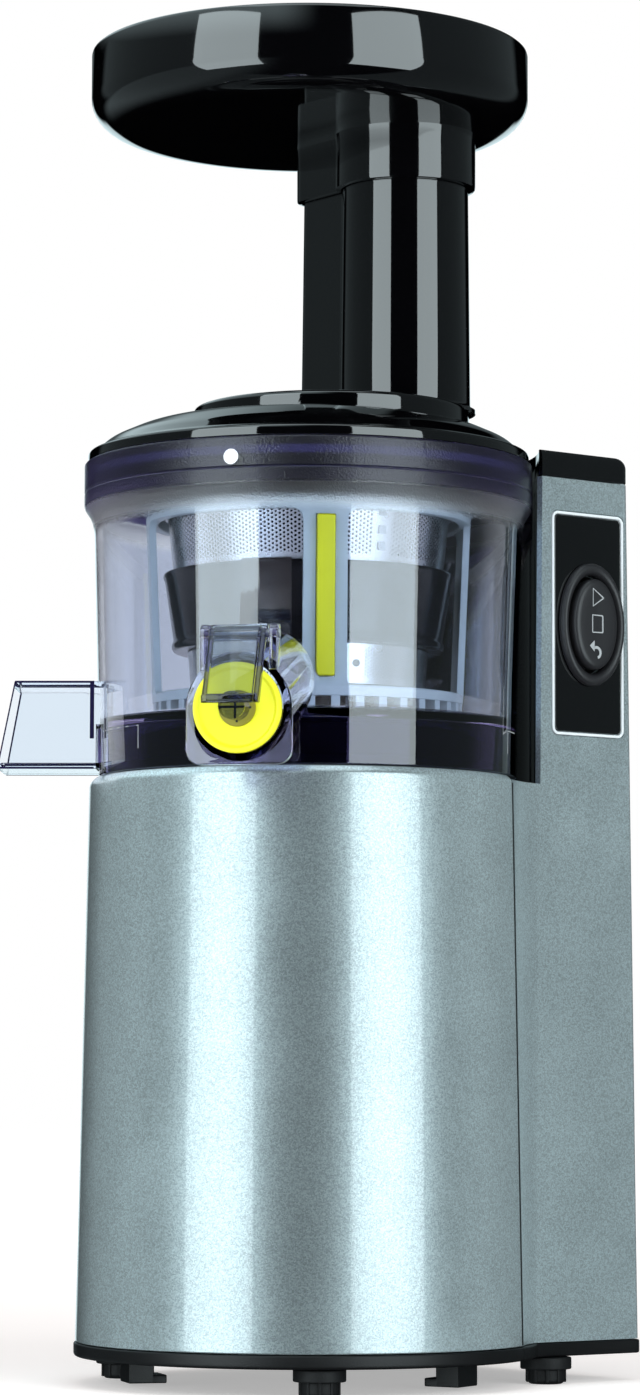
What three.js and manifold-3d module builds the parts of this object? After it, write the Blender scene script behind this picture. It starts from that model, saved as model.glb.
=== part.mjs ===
// Cold press juicer: a vertical screw juicer, built as an assembly of separate solids.
// Lengths are millimetres and angles are degrees. +Z is up, and z = 0 is the ground under the feet.
// The front faces -Y, the switch column stands behind at +Y, and the screw turns about the main axis.
import * as THREE from "three";
import { mergeVertices } from "three/addons/utils/BufferGeometryUtils.js";
import Module from "manifold-3d";

const wasm = await Module();
wasm.setup();

// Clearances shared by all pieces
const seatGap = 0.3;
const runningGap = 0.7;
const cutOverrun = 1;
const weldTolerance = 0.0001;

// Turns in degrees
const quarterTurn = 90;
const halfTurn = 180;
const threeQuarterTurn = 270;
const fullTurn = 360;

// Smoothness of round shapes
const wideSegments = 40;
const middleSegments = 26;
const smallSegments = 14;
const tinySegments = 8;
const cornerSteps = 4;
const ovalSteps = 24;

// Base unit: outer form
const footHeight = 8.6;
const baseThickness = 4.2;
const baseOverhang = 0.5;
const shellWall = 2.5;
const shellHeight = 173.6;
const shellChamfer = 1.9;
const bodyTopInset = 2.3;
const bodyDraft = 3.2;
const lipWidth = 2;
const lipDepth = 4;
const seamAngle = 30;
const shellArcSegments = 32;

// Switch column: outer form
const columnHalfWidth = 50;
const columnRise = 96.3;
const columnDepthBottom = 22.2;
const columnDepthTop = 18.4;
const columnFrontSetback = 1.54;
const columnFrontDraft = 2.8;
const columnCornerRadius = 3;
const columnCornerSteps = 5;
const filletDip = 2.7;
const filletSteps = 4;
const capHeight = 8.2;
const capShoulder = 3.4;
const capSideRound = 1;
const linerThickness = 2.2;
const linerClearance = 2.1;
const linerSteps = 22;
const ledgeThickness = 2.5;
const ledgeDrop = 1.5;

// Feet and cord hooks under the base
const footFlangeRadius = 8;
const footRadius = 6;
const footFlangeThickness = 3.7;
const footStemRadius = 3.5;
const footStemLength = 2.9;
const frontFootX = 52;
const frontFootY = -34;
const rearFootX = 45;
const rearFootY = 60;
const hookWidth = 12;
const hookDepth = 8;
const hookDrop = 7.6;
const hookToeLength = 4;
const hookToeThickness = 2.6;
const leftHookX = -20;
const leftHookY = -50;
const rightHookX = 50;
const rightHookY = 20;

// Deck that carries the bowl
const deckThickness = 4;
const deckBossInset = 16.1;
const deckWall = 2.5;
const deckCollarWidth = 3;
const deckCollarHeight = 4.2;
const deckHubWall = 3;
const deckPillarRadius = 4.5;

// Bowl
const skirtInset = 5.1;
const bowlWall = 2.4;
const bowlFloorRise = 17.1;
const bowlFloorThickness = 2.5;
const bowlWaistRise = 28.1;
const bowlWaistInset = 4.7;
const bowlShoulderRise = 78.1;
const bowlShoulderInset = 3.3;
const bowlFlareRise = 85.6;
const bowlFlareShare = 0.25;
const bowlRimRadius = 71.1;
const bowlRimRise = 99.2;
const bowlRimWall = 3.5;
const sealSeatRadius = 12.6;

// Juice spout on the bowl, at its own angle about the main axis
const spoutAngle = -49;
const spoutSlope = 18.4;
const spoutRadius = 15.6;
const spoutBore = 13.6;
const spoutEndReach = 98.5;
const spoutEndRise = 14.1;
const spoutRootReach = 62;
const spoutWallBite = 0.5;
const spoutFlangeThickness = 3;
const spoutFlangeHalfWidth = 16;
const spoutFlangeDrop = 16.6;
const spoutMouthDepth = 6;
const spoutFlangeCorner = 4.5;
const spoutFlangeSteps = 16;

// Hinged cap that closes the juice spout
const capHingeBack = 2.5;
const capHingeHeight = 22.3;
const capPinRadius = 1.2;
const capPinHalfLength = 12;
const capKnuckleRadius = 2.7;
const capLeverHalfWidth = 8.5;
const capLeverThickness = 2;
const capLeverReach = 13;
const capLeverEnd = 0.6;
const capLeverShoulder = 3.4;
const capRibDepth = 2.2;
const capRibWidth = 2.2;
const capEarThickness = 2.4;
const capBossRadius = 4;
const plugRadius = 13.2;
const plugDepth = 4;
const plugTaper = 1.2;
const plugFaceRadius = 14;
const plugFaceThickness = 1.6;
const plugDishDepth = 0.8;
const plugDishRadius = 12;
const plugHubRadius = 5.3;

// Pulp chute on the bowl
const chuteAngle = -128.5;
const chuteHalfWidth = 15;
const chuteWall = 2;
const chuteBottomRise = 2.1;
const chuteTopRise = 29.7;
const chuteReachBottom = 97;
const chuteReachTop = 91.6;
const pulpHoleInner = 24.5;
const pulpHoleOuter = 40;

// Gears inside the bowl
const bowlToothSize = 2.3;
const augerTeeth = 16;
const idlerTeeth = 12;
const brushTeeth = 40;
const bowlToothAddendumShare = 0.7;
const bowlToothDedendumShare = 0.95;
const bowlToothWidthShare = 0.37;
const bowlToothTipShare = 0.6;
const bowlGearLift = 0.9;
const bowlGearHeight = 3.2;
const idlerPinRadius = 3;
const idlerAngle = 90;

// Strainer
const strainerLift = 7.2;
const strainerBaseThickness = 2.3;
const strainerFloorRadius = 38.2;
const meshThickness = 0.8;
const lowerMeshHeight = 12.7;
const lowerMeshTopRadius = 38;
const lowerMeshBottomRadius = 37;
const bandHeight = 24.6;
const bandTopRadius = 46;
const bandBottomRadius = 42.7;
const bandFloor = 1.8;
const upperMeshHeight = 17.9;
const upperMeshTopRadius = 44.6;
const upperMeshBottomRadius = 42.7;
const strainerRimWidth = 1.2;
const strainerRimHeight = 1.4;
const restPostRadius = 3;
const restPostReach = 32;
const restPostAngles = [190, 270, 350];

// Turning brush round the strainer
const brushRingRadius = 49;
const brushRingHeight = 3.6;
const brushTopRingRadius = 51.6;
const brushTopRingWidth = 4;
const brushTopRingHeight = 4.4;
const brushPostWidth = 13.5;
const brushPostThickness = 2.1;
const brushPostAngle = -31;
const brushPostCount = 4;
const brushHeight = 66.4;
const bladeWidth = 5.5;
const bladeProud = 2.3;
const bladeMargin = 5;

// Screw
const screwCoreBottomRadius = 29;
const screwCoreTopRadius = 17;
const screwHubGap = 0.7;
const screwHeight = 60;
const screwDomeHeight = 8;
const screwPinRadius = 3;
const screwPinLength = 18;
const flightWallGap = 1.5;
const flightTopRadius = 41;
const flightThickness = 3.4;
const flightCrest = 1.6;
const flightTurns = 1.15;
const flightSteps = 18;
const flightCount = 2;

// Lid with its feed tube
const lidEdgeInset = 1.1;
const lidEdgeThickness = 3.2;
const lidShoulderInset = 3.1;
const lidDomeHeight = 10.4;
const domeHighShare = 0.82;
const domeLowShare = 0.38;
const domeHighReachShare = 0.4;
const domeLowReachShare = 0.82;
const lidWall = 2.5;
const lidSkirtDepth = 10.4;
const lidSkirtGap = 1;
const lidSealHeight = 2.4;
const lidSealDepth = 1.6;
const funnelMouthRadius = 52;
const funnelNeckDrop = 3.4;
const funnelInsert = 1.2;
const platformRadius = 44;
const platformShift = 9;
const platformHeight = 16.4;
const lidBossRadius = 7;
const lidBossLength = 34;
const tubeMainX = 14;
const tubeMainY = 28;
const tubeMainRadius = 20;
const tubeMainSteps = 13;
const slotReach = 24.2;
const slotFront = 14;
const slotBack = 43;
const slotFrontCorner = 4.7;
const slotBackCorner = 14;
const slotFillet = 3;
const slotFilletSteps = 3;
const tubeDraft = 0.9;
const collarDraftShare = 0.33;
const tubeWall = 2.5;
const tubeHeight = 88.7;

// Food tray on top of the feed tube
const trayCollarHeight = 17.5;
const trayCollarWall = 2.1;
const trayCollarGap = 0.4;
const trayFloorThickness = 2.5;
const trayFloorRadius = 57.5;
const trayRadius = 69.8;
const trayBendHeight = 10;
const trayHeight = 25.1;
const trayWall = 2.5;
const trayBendSteps = 4;

// Gear train and its housing; a tooth size is the pitch diameter divided by the number of teeth
const driveToothSize = 1;
const pinionTeeth = 12;
const wheelTeeth = 54;
const toothAddendumShare = 0.8;
const toothDedendumShare = 1.2;
const toothWidthShare = 0.4;
const toothTipShare = 0.55;
const housingWall = 3;
const housingFloor = 3.7;
const firstStageHeight = 8;
const secondStageHeight = 14;
const stageGap = 3;
const housingCoverThickness = 5;
const housingDrop = 19;
const housingEarRadius = 5;
const screwShankRadius = 1.7;
const screwHeadRadius = 3.2;
const screwHeadHeight = 2.8;
const screwBite = 11;
const counterShaftRadius = 3;
const bushWall = 2.7;
const housingArcSteps = 20;
const pinionRoomShare = 1;
const gapFirstShare = 0.5;

// Drive shaft
const driveShaftRadius = 6.2;
const driveHexRadius = 6.1;
const driveHexLength = 19.2;
const hexSides = 6;
const bearingWidth = 6;
const bearingRadius = 13;

// Motor
const motorRadius = 36;
const motorCanWall = 2;
const motorFloorRoom = 29.9;
const motorBellThickness = 5.7;
const motorShaftRadius = 4;
const motorBearingRadius = 11;
const statorInnerRadius = 25;
const statorHeight = 44;
const rotorRadius = 21.6;
const windingHeight = 8;
const windingRadius = 31;
const windingLiner = 2.4;
const fanRadius = 28;
const fanHubRadius = 8;
const fanPlateThickness = 2;
const fanBladeHeight = 11;
const fanBladeThickness = 1.6;
const fanBladeCount = 9;
const fanDrop = 6;

// Switch panel on the right side of the column
const panelWidth = 29.8;
const panelHeight = 71.2;
const panelBackset = 18.8;
const rockerBackset = 19.5;
const panelCentreRise = 49.8;
const panelCorner = 2.5;
const panelPocketDepth = 1.4;
const panelLine = 0.9;
const panelLineProud = 0.3;
const bezelHeight = 39.3;
const bezelWidth = 26;
const bezelProud = 2.6;
const bezelSlope = 1.6;
const rockerHeight = 29;
const rockerWidth = 18;
const rockerProud = 4;
const rockerDepth = 6.5;
const rockerBackNarrowing = 4;
const rockerBackShortening = 10;
const switchCavityMargin = 1.5;
const rockerCrown = 1.6;
const rockerGap = 1.2;
const rockerPinRadius = 1.2;
const rockerPinDepth = 4.2;
const housingDepth = 12;
const switchMargin = 2.5;

// Electrics in the column
const boardWidth = 62;
const boardHeight = 84;
const boardThickness = 1.6;
const boardBottom = 62;
const boardStandoff = 10;
const boardPostRadius = 3;
const capacitorRadius = 9;
const capacitorHeight = 26;
const glandRadius = 6;
const glandBore = 3.4;
const glandFlangeRadius = 8.5;
const glandFlangeThickness = 1.6;
const glandRise = 20;
const glandReach = 9;

// Levels worked out from the sizes above
const baseTop = footHeight + baseThickness;
const shellBottom = baseTop + seatGap;
const deckLevel = shellBottom + shellHeight + shellChamfer;
const columnTop = deckLevel + columnRise;
const ledgeTop = deckLevel - ledgeDrop;
const bowlBottom = deckLevel + seatGap;
const bowlFloor = bowlBottom + bowlFloorRise;
const bowlTop = bowlBottom + bowlRimRise;
const gearLevel = bowlFloor + bowlGearLift;
const strainerBottom = bowlFloor + strainerLift;
const lowerMeshBottom = strainerBottom + strainerBaseThickness + seatGap;
const bandBottom = lowerMeshBottom + lowerMeshHeight + seatGap;
const upperMeshBottom = bandBottom + bandHeight + seatGap;
const strainerTop = upperMeshBottom + upperMeshHeight;
const lidBottom = bowlTop + seatGap;
const lidShoulder = lidBottom + lidEdgeThickness;
const tubeTop = lidBottom + platformHeight + lidWall + tubeHeight;
const trayBottom = tubeTop + seatGap;

// Radii worked out from the sizes above
const bodyTopRadius = bowlRimRadius - bodyTopInset;
const bodyBottomRadius = bodyTopRadius + bodyDraft;
const skirtRadius = bowlRimRadius - skirtInset;
const bowlWaistRadius = bowlRimRadius - bowlWaistInset;
const bowlShoulderRadius = bowlRimRadius - bowlShoulderInset;
const lidEdgeRadius = bowlRimRadius - lidEdgeInset;
const lidShoulderRadius = bowlRimRadius - lidShoulderInset;
const deckBossRadius = bowlRimRadius - deckBossInset;
const lipInnerRadius = bodyTopRadius - shellWall - lipWidth;
const deckRadius = lipInnerRadius - seatGap;
const linerRadius = bowlRimRadius + linerClearance;
const skirtInnerRadius = skirtRadius - bowlWall;
const gearDistance = (driveToothSize * (pinionTeeth + wheelTeeth)) / 2;
const wheelTip = driveToothSize * (wheelTeeth / 2 + toothAddendumShare);
const augerPitchRadius = (bowlToothSize * augerTeeth) / 2;
const idlerPitchRadius = (bowlToothSize * idlerTeeth) / 2;
const brushPitchRadius = (bowlToothSize * brushTeeth) / 2;
const idlerReach = augerPitchRadius + idlerPitchRadius;
const augerTip = augerPitchRadius + bowlToothSize * bowlToothAddendumShare;
const augerRoot = augerPitchRadius - bowlToothSize * bowlToothDedendumShare;
const screwHubRadius = augerTip;

// Places of the column and of the switch panel on its side
const columnBackBottom = linerRadius + columnDepthBottom;
const columnBackTop = linerRadius + columnDepthTop;
const linerEdgeY = Math.sqrt(linerRadius * linerRadius - columnHalfWidth * columnHalfWidth);
const columnFrontTop = linerEdgeY + columnFrontSetback;
const columnFrontBottom = columnFrontTop - columnFrontDraft;
const panelCentreY = columnFrontTop + panelBackset;
const rockerCentreY = columnFrontTop + rockerBackset;

// Levels of the gear train, hung below the deck
const deckBottom = deckLevel - seatGap - deckThickness;
const coverTop = deckBottom - housingDrop - seatGap;
const coverBottom = coverTop - housingCoverThickness;
const housingTop = coverBottom - seatGap;
const secondStageTop = housingTop - stageGap;
const secondStageBottom = secondStageTop - secondStageHeight;
const firstStageTop = secondStageBottom - stageGap;
const firstStageBottom = firstStageTop - firstStageHeight;
const housingInside = firstStageBottom - stageGap;
const housingBottom = housingInside - housingFloor;
const bellTop = housingBottom - seatGap;
const bellBottom = bellTop - motorBellThickness;
const canTop = bellBottom - seatGap;
const canBottom = baseTop + motorFloorRoom;
const statorBottom = (canBottom + canTop - statorHeight) / 2;
const statorTop = statorBottom + statorHeight;
const fanTop = canBottom - fanDrop;
const shaftBottom = fanTop - fanBladeHeight - fanPlateThickness;

// Finishes: colour, roughness and metalness of each kind of material
const finishes = {
  silver: [0x8f9da1, 0.35, 0.7],
  blackGloss: [0x08080a, 0.08, 0],
  blackPlastic: [0x141416, 0.5, 0],
  clearTint: [0x8d87b8, 0.05, 0],
  clear: [0xb9bfc9, 0.05, 0],
  smokeTint: [0x2b2638, 0.15, 0],
  translucent: [0xe6ebee, 0.35, 0],
  yellow: [0xece90a, 0.5, 0],
  steelMesh: [0xb4b8bb, 0.3, 1],
  steel: [0xa7abae, 0.3, 1],
  copper: [0xb0683a, 0.35, 1],
  laminate: [0x6b6e70, 0.5, 0.9],
  castMetal: [0x9a9ea1, 0.5, 0.9],
  gearPlastic: [0xd9d4c4, 0.45, 0],
  bronze: [0xa9814a, 0.4, 1],
  rubber: [0x111113, 0.85, 0],
  silicone: [0xc9cdd2, 0.6, 0],
  boardGreen: [0x1e5b33, 0.6, 0],
  blue: [0x23408e, 0.5, 0],
  brightLine: [0xd5d9dc, 0.2, 1],
};

const radians = THREE.MathUtils.degToRad;
const mix = THREE.MathUtils.lerp;

// Solids from three.js geometry

function triangleVolume(positions, a, b, c) {
  const corners = [a, b, c].map((i) => new THREE.Vector3().fromArray(positions, 3 * i));
  return corners[0].dot(corners[1].cross(corners[2])) / 6;
}

function solidOf(geometry) {
  const bare = geometry.clone();
  bare.deleteAttribute("normal");
  bare.deleteAttribute("uv");
  const merged = mergeVertices(bare, weldTolerance);
  const positions = merged.attributes.position.array;
  const index = merged.index.array;
  const corners = [];
  let volume = 0;
  for (let i = 0; i < index.length; i += 3) {
    const [a, b, c] = index.slice(i, i + 3);
    if (a === b || b === c || c === a) continue;
    corners.push([a, b, c]);
    volume += triangleVolume(positions, a, b, c);
  }
  const facing = volume < 0 ? corners.map(([a, b, c]) => [a, c, b]) : corners;
  const mesh = new wasm.Mesh({
    numProp: 3,
    vertProperties: new Float32Array(positions),
    triVerts: new Uint32Array(facing.flat()),
  });
  return new wasm.Manifold(mesh);
}

function geometryOf(solid) {
  const mesh = solid.asOriginal().simplify(weldTolerance).getMesh();
  const geometry = new THREE.BufferGeometry();
  geometry.setAttribute("position", new THREE.BufferAttribute(mesh.vertProperties, 3));
  geometry.setIndex(new THREE.BufferAttribute(mesh.triVerts, 1));
  geometry.computeVertexNormals();
  return geometry;
}

function joined(...solids) {
  return solids.reduce((sum, next) => sum.add(next));
}

function cut(solid, ...cutters) {
  return cutters.reduce((rest, cutter) => rest.subtract(cutter), solid);
}

// A body of revolution about the main axis from a list of [radius, level] points.
function turned(profile, segments = wideSegments) {
  const points = profile.map(([radius, level]) => new THREE.Vector2(radius, level));
  if (profile[0][0] > 0) points.push(points[0].clone());
  const geometry = new THREE.LatheGeometry(points, segments);
  geometry.rotateX(Math.PI / 2);
  return solidOf(geometry);
}

function ring(inner, outer, bottom, top, segments = middleSegments) {
  return turned(
    [
      [inner, bottom],
      [outer, bottom],
      [outer, top],
      [inner, top],
    ],
    segments,
  );
}

function rod(radius, bottom, top, [x, y] = [0, 0], segments = smallSegments) {
  const geometry = new THREE.CylinderGeometry(radius, radius, top - bottom, segments);
  geometry.rotateX(Math.PI / 2);
  geometry.translate(x, y, (bottom + top) / 2);
  return solidOf(geometry);
}

function block([x0, y0, z0], [x1, y1, z1]) {
  const geometry = new THREE.BoxGeometry(x1 - x0, y1 - y0, z1 - z0);
  geometry.translate((x0 + x1) / 2, (y0 + y1) / 2, (z0 + z1) / 2);
  return solidOf(geometry);
}

function prism(outline, bottom, top) {
  const shape = new THREE.Shape(outline.map(([x, y]) => new THREE.Vector2(x, y)));
  const geometry = new THREE.ExtrudeGeometry(shape, { depth: top - bottom, bevelEnabled: false });
  geometry.translate(0, 0, bottom);
  return solidOf(geometry);
}

// A skin over closed sections that all have the same number of points, with flat ends.
function loft(sections) {
  const count = sections[0].length;
  const flat = (section) => section.map(([x, y]) => new THREE.Vector2(x, y));
  const fan = [
    [0, 1, 2],
    [0, 2, 3],
  ];
  const ends = (section) => (count === 4 ? fan : THREE.ShapeUtils.triangulateShape(flat(section), []));
  const last = (sections.length - 1) * count;
  const index = [];
  for (const [a, b, c] of ends(sections[0])) index.push(a, c, b);
  for (const [a, b, c] of ends(sections.at(-1))) index.push(last + a, last + b, last + c);
  for (let level = 0; level < sections.length - 1; level += 1) {
    for (let i = 0; i < count; i += 1) {
      const low = level * count + i;
      const lowNext = level * count + ((i + 1) % count);
      index.push(low, lowNext, lowNext + count);
      index.push(low, lowNext + count, low + count);
    }
  }
  const geometry = new THREE.BufferGeometry();
  geometry.setAttribute("position", new THREE.Float32BufferAttribute(sections.flat(2), 3));
  geometry.setIndex(index);
  return solidOf(geometry);
}

// The same solid moved by a matrix.
function placed(solid, matrix) {
  return solidOf(geometryOf(solid).applyMatrix4(matrix));
}

function turnedAbout(solid, angle) {
  return placed(solid, new THREE.Matrix4().makeRotationZ(radians(angle)));
}

function shifted(solid, x, y, z) {
  return placed(solid, new THREE.Matrix4().makeTranslation(x, y, z));
}

function polar(radius, angle) {
  return [radius * Math.cos(radians(angle)), radius * Math.sin(radians(angle))];
}

// Points along an arc about a centre, both ends included.
function arc([x, y], radius, from, to, steps) {
  const points = [];
  for (let i = 0; i <= steps; i += 1) {
    const [dx, dy] = polar(radius, mix(from, to, i / steps));
    points.push([x + dx, y + dy]);
  }
  return points;
}

function roundedRectangle(width, height, corner, steps = cornerSteps) {
  const x = width / 2 - corner;
  const y = height / 2 - corner;
  return [
    ...arc([x, -y], corner, -quarterTurn, 0, steps),
    ...arc([x, y], corner, 0, quarterTurn, steps),
    ...arc([-x, y], corner, quarterTurn, halfTurn, steps),
    ...arc([-x, -y], corner, halfTurn, threeQuarterTurn, steps),
  ];
}

function oval(width, height, steps = ovalSteps) {
  const points = [];
  for (let i = 0; i < steps; i += 1) {
    const turn = (2 * Math.PI * i) / steps;
    points.push([(width / 2) * Math.cos(turn), (height / 2) * Math.sin(turn)]);
  }
  return points;
}

function atLevel(outline, level) {
  return outline.map(([x, y]) => [x, y, level]);
}

// Toothed outline. Its first tooth points along angle zero, or its first gap when shifted half a tooth.
function gearOutline(teeth, toothSize, shares, shiftShare = 0) {
  const pitchRadius = (toothSize * teeth) / 2;
  const tip = pitchRadius + toothSize * shares.addendum;
  const root = pitchRadius - toothSize * shares.dedendum;
  const pitchAngle = fullTurn / teeth;
  const half = (pitchAngle * shares.width) / 2;
  const outline = [];
  for (let i = 0; i < teeth; i += 1) {
    const middle = (i + shiftShare) * pitchAngle;
    const rootHalf = half * (2 - shares.tip);
    outline.push(polar(root, middle - rootHalf));
    outline.push(polar(tip, middle - half * shares.tip));
    outline.push(polar(tip, middle + half * shares.tip));
    outline.push(polar(root, middle + rootHalf));
  }
  return outline;
}

const driveShares = {
  addendum: toothAddendumShare,
  dedendum: toothDedendumShare,
  width: toothWidthShare,
  tip: toothTipShare,
};
const bowlShares = {
  addendum: bowlToothAddendumShare,
  dedendum: bowlToothDedendumShare,
  width: bowlToothWidthShare,
  tip: bowlToothTipShare,
};

// Draft of the casing

function bodyRadius(level) {
  return mix(bodyBottomRadius, bodyTopRadius, (level - shellBottom) / shellHeight);
}

function columnShare(level) {
  return (level - shellBottom) / (columnTop - shellBottom);
}

function columnBack(level) {
  return mix(columnBackBottom, columnBackTop, columnShare(level));
}

function columnFront(level) {
  return mix(columnFrontBottom, columnFrontTop, columnShare(level));
}

// Right side of the column from its front edge round to the middle of the back.
function columnSide(level, inset) {
  const corner = columnCornerRadius - inset;
  const back = columnBack(level) - inset;
  const side = columnHalfWidth - inset;
  const rounded = arc([side - corner, back - corner], corner, 0, quarterTurn, columnCornerSteps);
  return [[side, columnFront(level)], ...rounded];
}

// Concave strip between the round body and the side of the column.
function columnWing(level, inset) {
  const radius = bodyRadius(level) - inset;
  const seam = polar(radius, seamAngle + THREE.MathUtils.radToDeg(seatGap / radius));
  const edge = [columnHalfWidth - inset, columnFront(level)];
  const middle = [(seam[0] + edge[0]) / 2 - filletDip, (seam[1] + edge[1]) / 2];
  const points = [seam, middle, edge].map(([x, y]) => new THREE.Vector2(x, y));
  const curve = new THREE.QuadraticBezierCurve(...points);
  const steps = curve.getPoints(filletSteps).slice(0, -1);
  return steps.map(({ x, y }) => [x, y]);
}

function mirrored(points) {
  return points.map(([x, y]) => [-x, y]).reverse();
}

function columnOutline(level, inset, winged) {
  const wing = winged ? columnWing(level, inset) : [];
  const right = [...wing, ...columnSide(level, inset)];
  return [...right, ...mirrored(right)];
}

// Open section of the column wall at one level.
function columnSection(level, winged) {
  const outer = columnOutline(level, 0, winged);
  const inner = columnOutline(level, shellWall, winged).reverse();
  return atLevel([...outer, ...inner], level);
}

// Base unit

function makeBasePlate() {
  const plateBottom = footHeight;
  const outline = columnOutline(shellBottom, -baseOverhang, true);
  const plate = joined(
    rod(bodyBottomRadius + baseOverhang, plateBottom, baseTop, [0, 0], wideSegments),
    prism(outline, plateBottom, baseTop),
  );
  const holes = footPlaces().map(([, place]) =>
    rod(footStemRadius + seatGap, plateBottom - cutOverrun, baseTop + cutOverrun, place, tinySegments),
  );
  return joined(cut(plate, ...holes), makeHook(leftHookX, leftHookY), makeHook(rightHookX, rightHookY));
}

function makeHook(x, y) {
  const top = footHeight + baseThickness / 2;
  const bottom = footHeight - hookDrop;
  const turn = Math.atan2(y, x);
  const stem = block([-hookDepth / 2, -hookWidth / 2, bottom], [hookDepth / 2, hookWidth / 2, top]);
  const toe = block(
    [hookDepth / 2 - cutOverrun, -hookWidth / 2, bottom],
    [hookDepth / 2 + hookToeLength, hookWidth / 2, bottom + hookToeThickness],
  );
  const inwards = new THREE.Matrix4().makeRotationZ(turn + Math.PI);
  return placed(joined(stem, toe), inwards.setPosition(x, y, 0));
}

function footPlaces() {
  return [
    ["foot_front_left", [-frontFootX, frontFootY]],
    ["foot_front_right", [frontFootX, frontFootY]],
    ["foot_rear_left", [-rearFootX, rearFootY]],
    ["foot_rear_right", [rearFootX, rearFootY]],
  ];
}

function makeFoot([x, y]) {
  const flangeTop = footHeight - seatGap;
  const flangeBottom = flangeTop - footFlangeThickness;
  const profile = [
    [0, 0],
    [footRadius, 0],
    [footRadius, flangeBottom],
    [footFlangeRadius, flangeBottom],
    [footFlangeRadius, flangeTop],
    [footStemRadius, flangeTop],
    [footStemRadius, flangeTop + footStemLength],
    [0, flangeTop + footStemLength],
  ];
  return shifted(turned(profile, smallSegments), x, y, 0);
}

// Ring section open at the back, where the column joins.
function shellSection(outer, inner, level) {
  const from = halfTurn - seamAngle;
  const to = fullTurn + seamAngle;
  const outside = arc([0, 0], outer, from, to, shellArcSegments);
  const inside = arc([0, 0], inner, to, from, shellArcSegments);
  return atLevel([...outside, ...inside], level);
}

function makeFrontShell() {
  const chamferStart = deckLevel - shellChamfer;
  const lipStart = deckLevel - lipDepth;
  return loft([
    shellSection(bodyBottomRadius, bodyBottomRadius - shellWall, shellBottom),
    shellSection(bodyRadius(lipStart), bodyRadius(lipStart) - shellWall, lipStart),
    shellSection(bodyRadius(lipStart), lipInnerRadius, lipStart),
    shellSection(bodyTopRadius, lipInnerRadius, chamferStart),
    shellSection(bodyTopRadius - shellChamfer, lipInnerRadius, deckLevel),
  ]);
}

function makeColumnShell() {
  const ledgeBottom = ledgeTop - ledgeThickness;
  const lower = loft([columnSection(shellBottom, true), columnSection(ledgeTop, true)]);
  const upper = loft([columnSection(ledgeBottom, false), columnSection(columnTop, false)]);
  const ledgeReach = linerRadius + linerThickness + shellWall;
  const hollow = cut(
    prism(columnOutline(ledgeTop, shellWall, true), ledgeBottom - cutOverrun, columnTop),
    rod(ledgeReach, ledgeBottom - 2 * cutOverrun, columnTop + cutOverrun, [0, 0], wideSegments),
  );
  const ledge = cut(
    prism(columnOutline(ledgeTop, 0, true), ledgeBottom, ledgeTop),
    rod(lipInnerRadius, ledgeBottom - cutOverrun, ledgeTop + cutOverrun, [0, 0], wideSegments),
    hollow,
  );
  const posts = boardPostPlaces().map(([x, z]) => makeBoardPost(x, z));
  const z = glandLevel();
  const front = columnBack(z) - 2 * shellWall;
  const gland = alongY(glandRadius + seatGap, front, columnBackBottom + cutOverrun, 0, z, smallSegments);
  return cut(joined(lower, upper, ledge, ...posts), panelPocket(), switchOpening(), gland);
}

function makeColumnCap() {
  const bottom = columnTop + seatGap;
  const shoulder = bottom + capHeight - capShoulder;
  const top = bottom + capHeight;
  const outline = columnOutline(columnTop, 0, false);
  const back = columnBackTop;
  const drawnIn = outline.map(([x, y]) => {
    const side = x * (1 - capSideRound / columnHalfWidth);
    const share = (y - columnFrontTop) / (back - columnFrontTop);
    return [side, y - capShoulder * share];
  });
  const body = loft([atLevel(outline, bottom), atLevel(outline, shoulder), atLevel(drawnIn, top)]);
  return cut(body, rod(linerRadius, bottom - cutOverrun, top + cutOverrun, [0, 0], wideSegments));
}

function makeColumnLiner() {
  const bottom = ledgeTop + seatGap;
  const halfWidth = columnHalfWidth - shellWall - seatGap;
  const from = THREE.MathUtils.radToDeg(Math.acos(halfWidth / linerRadius));
  const backRadius = linerRadius + linerThickness;
  const fromBack = THREE.MathUtils.radToDeg(Math.acos(halfWidth / backRadius));
  const front = arc([0, 0], linerRadius, from, halfTurn - from, linerSteps);
  const back = arc([0, 0], backRadius, halfTurn - fromBack, fromBack, linerSteps);
  return prism([...back, ...front], bottom, columnTop);
}

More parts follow.
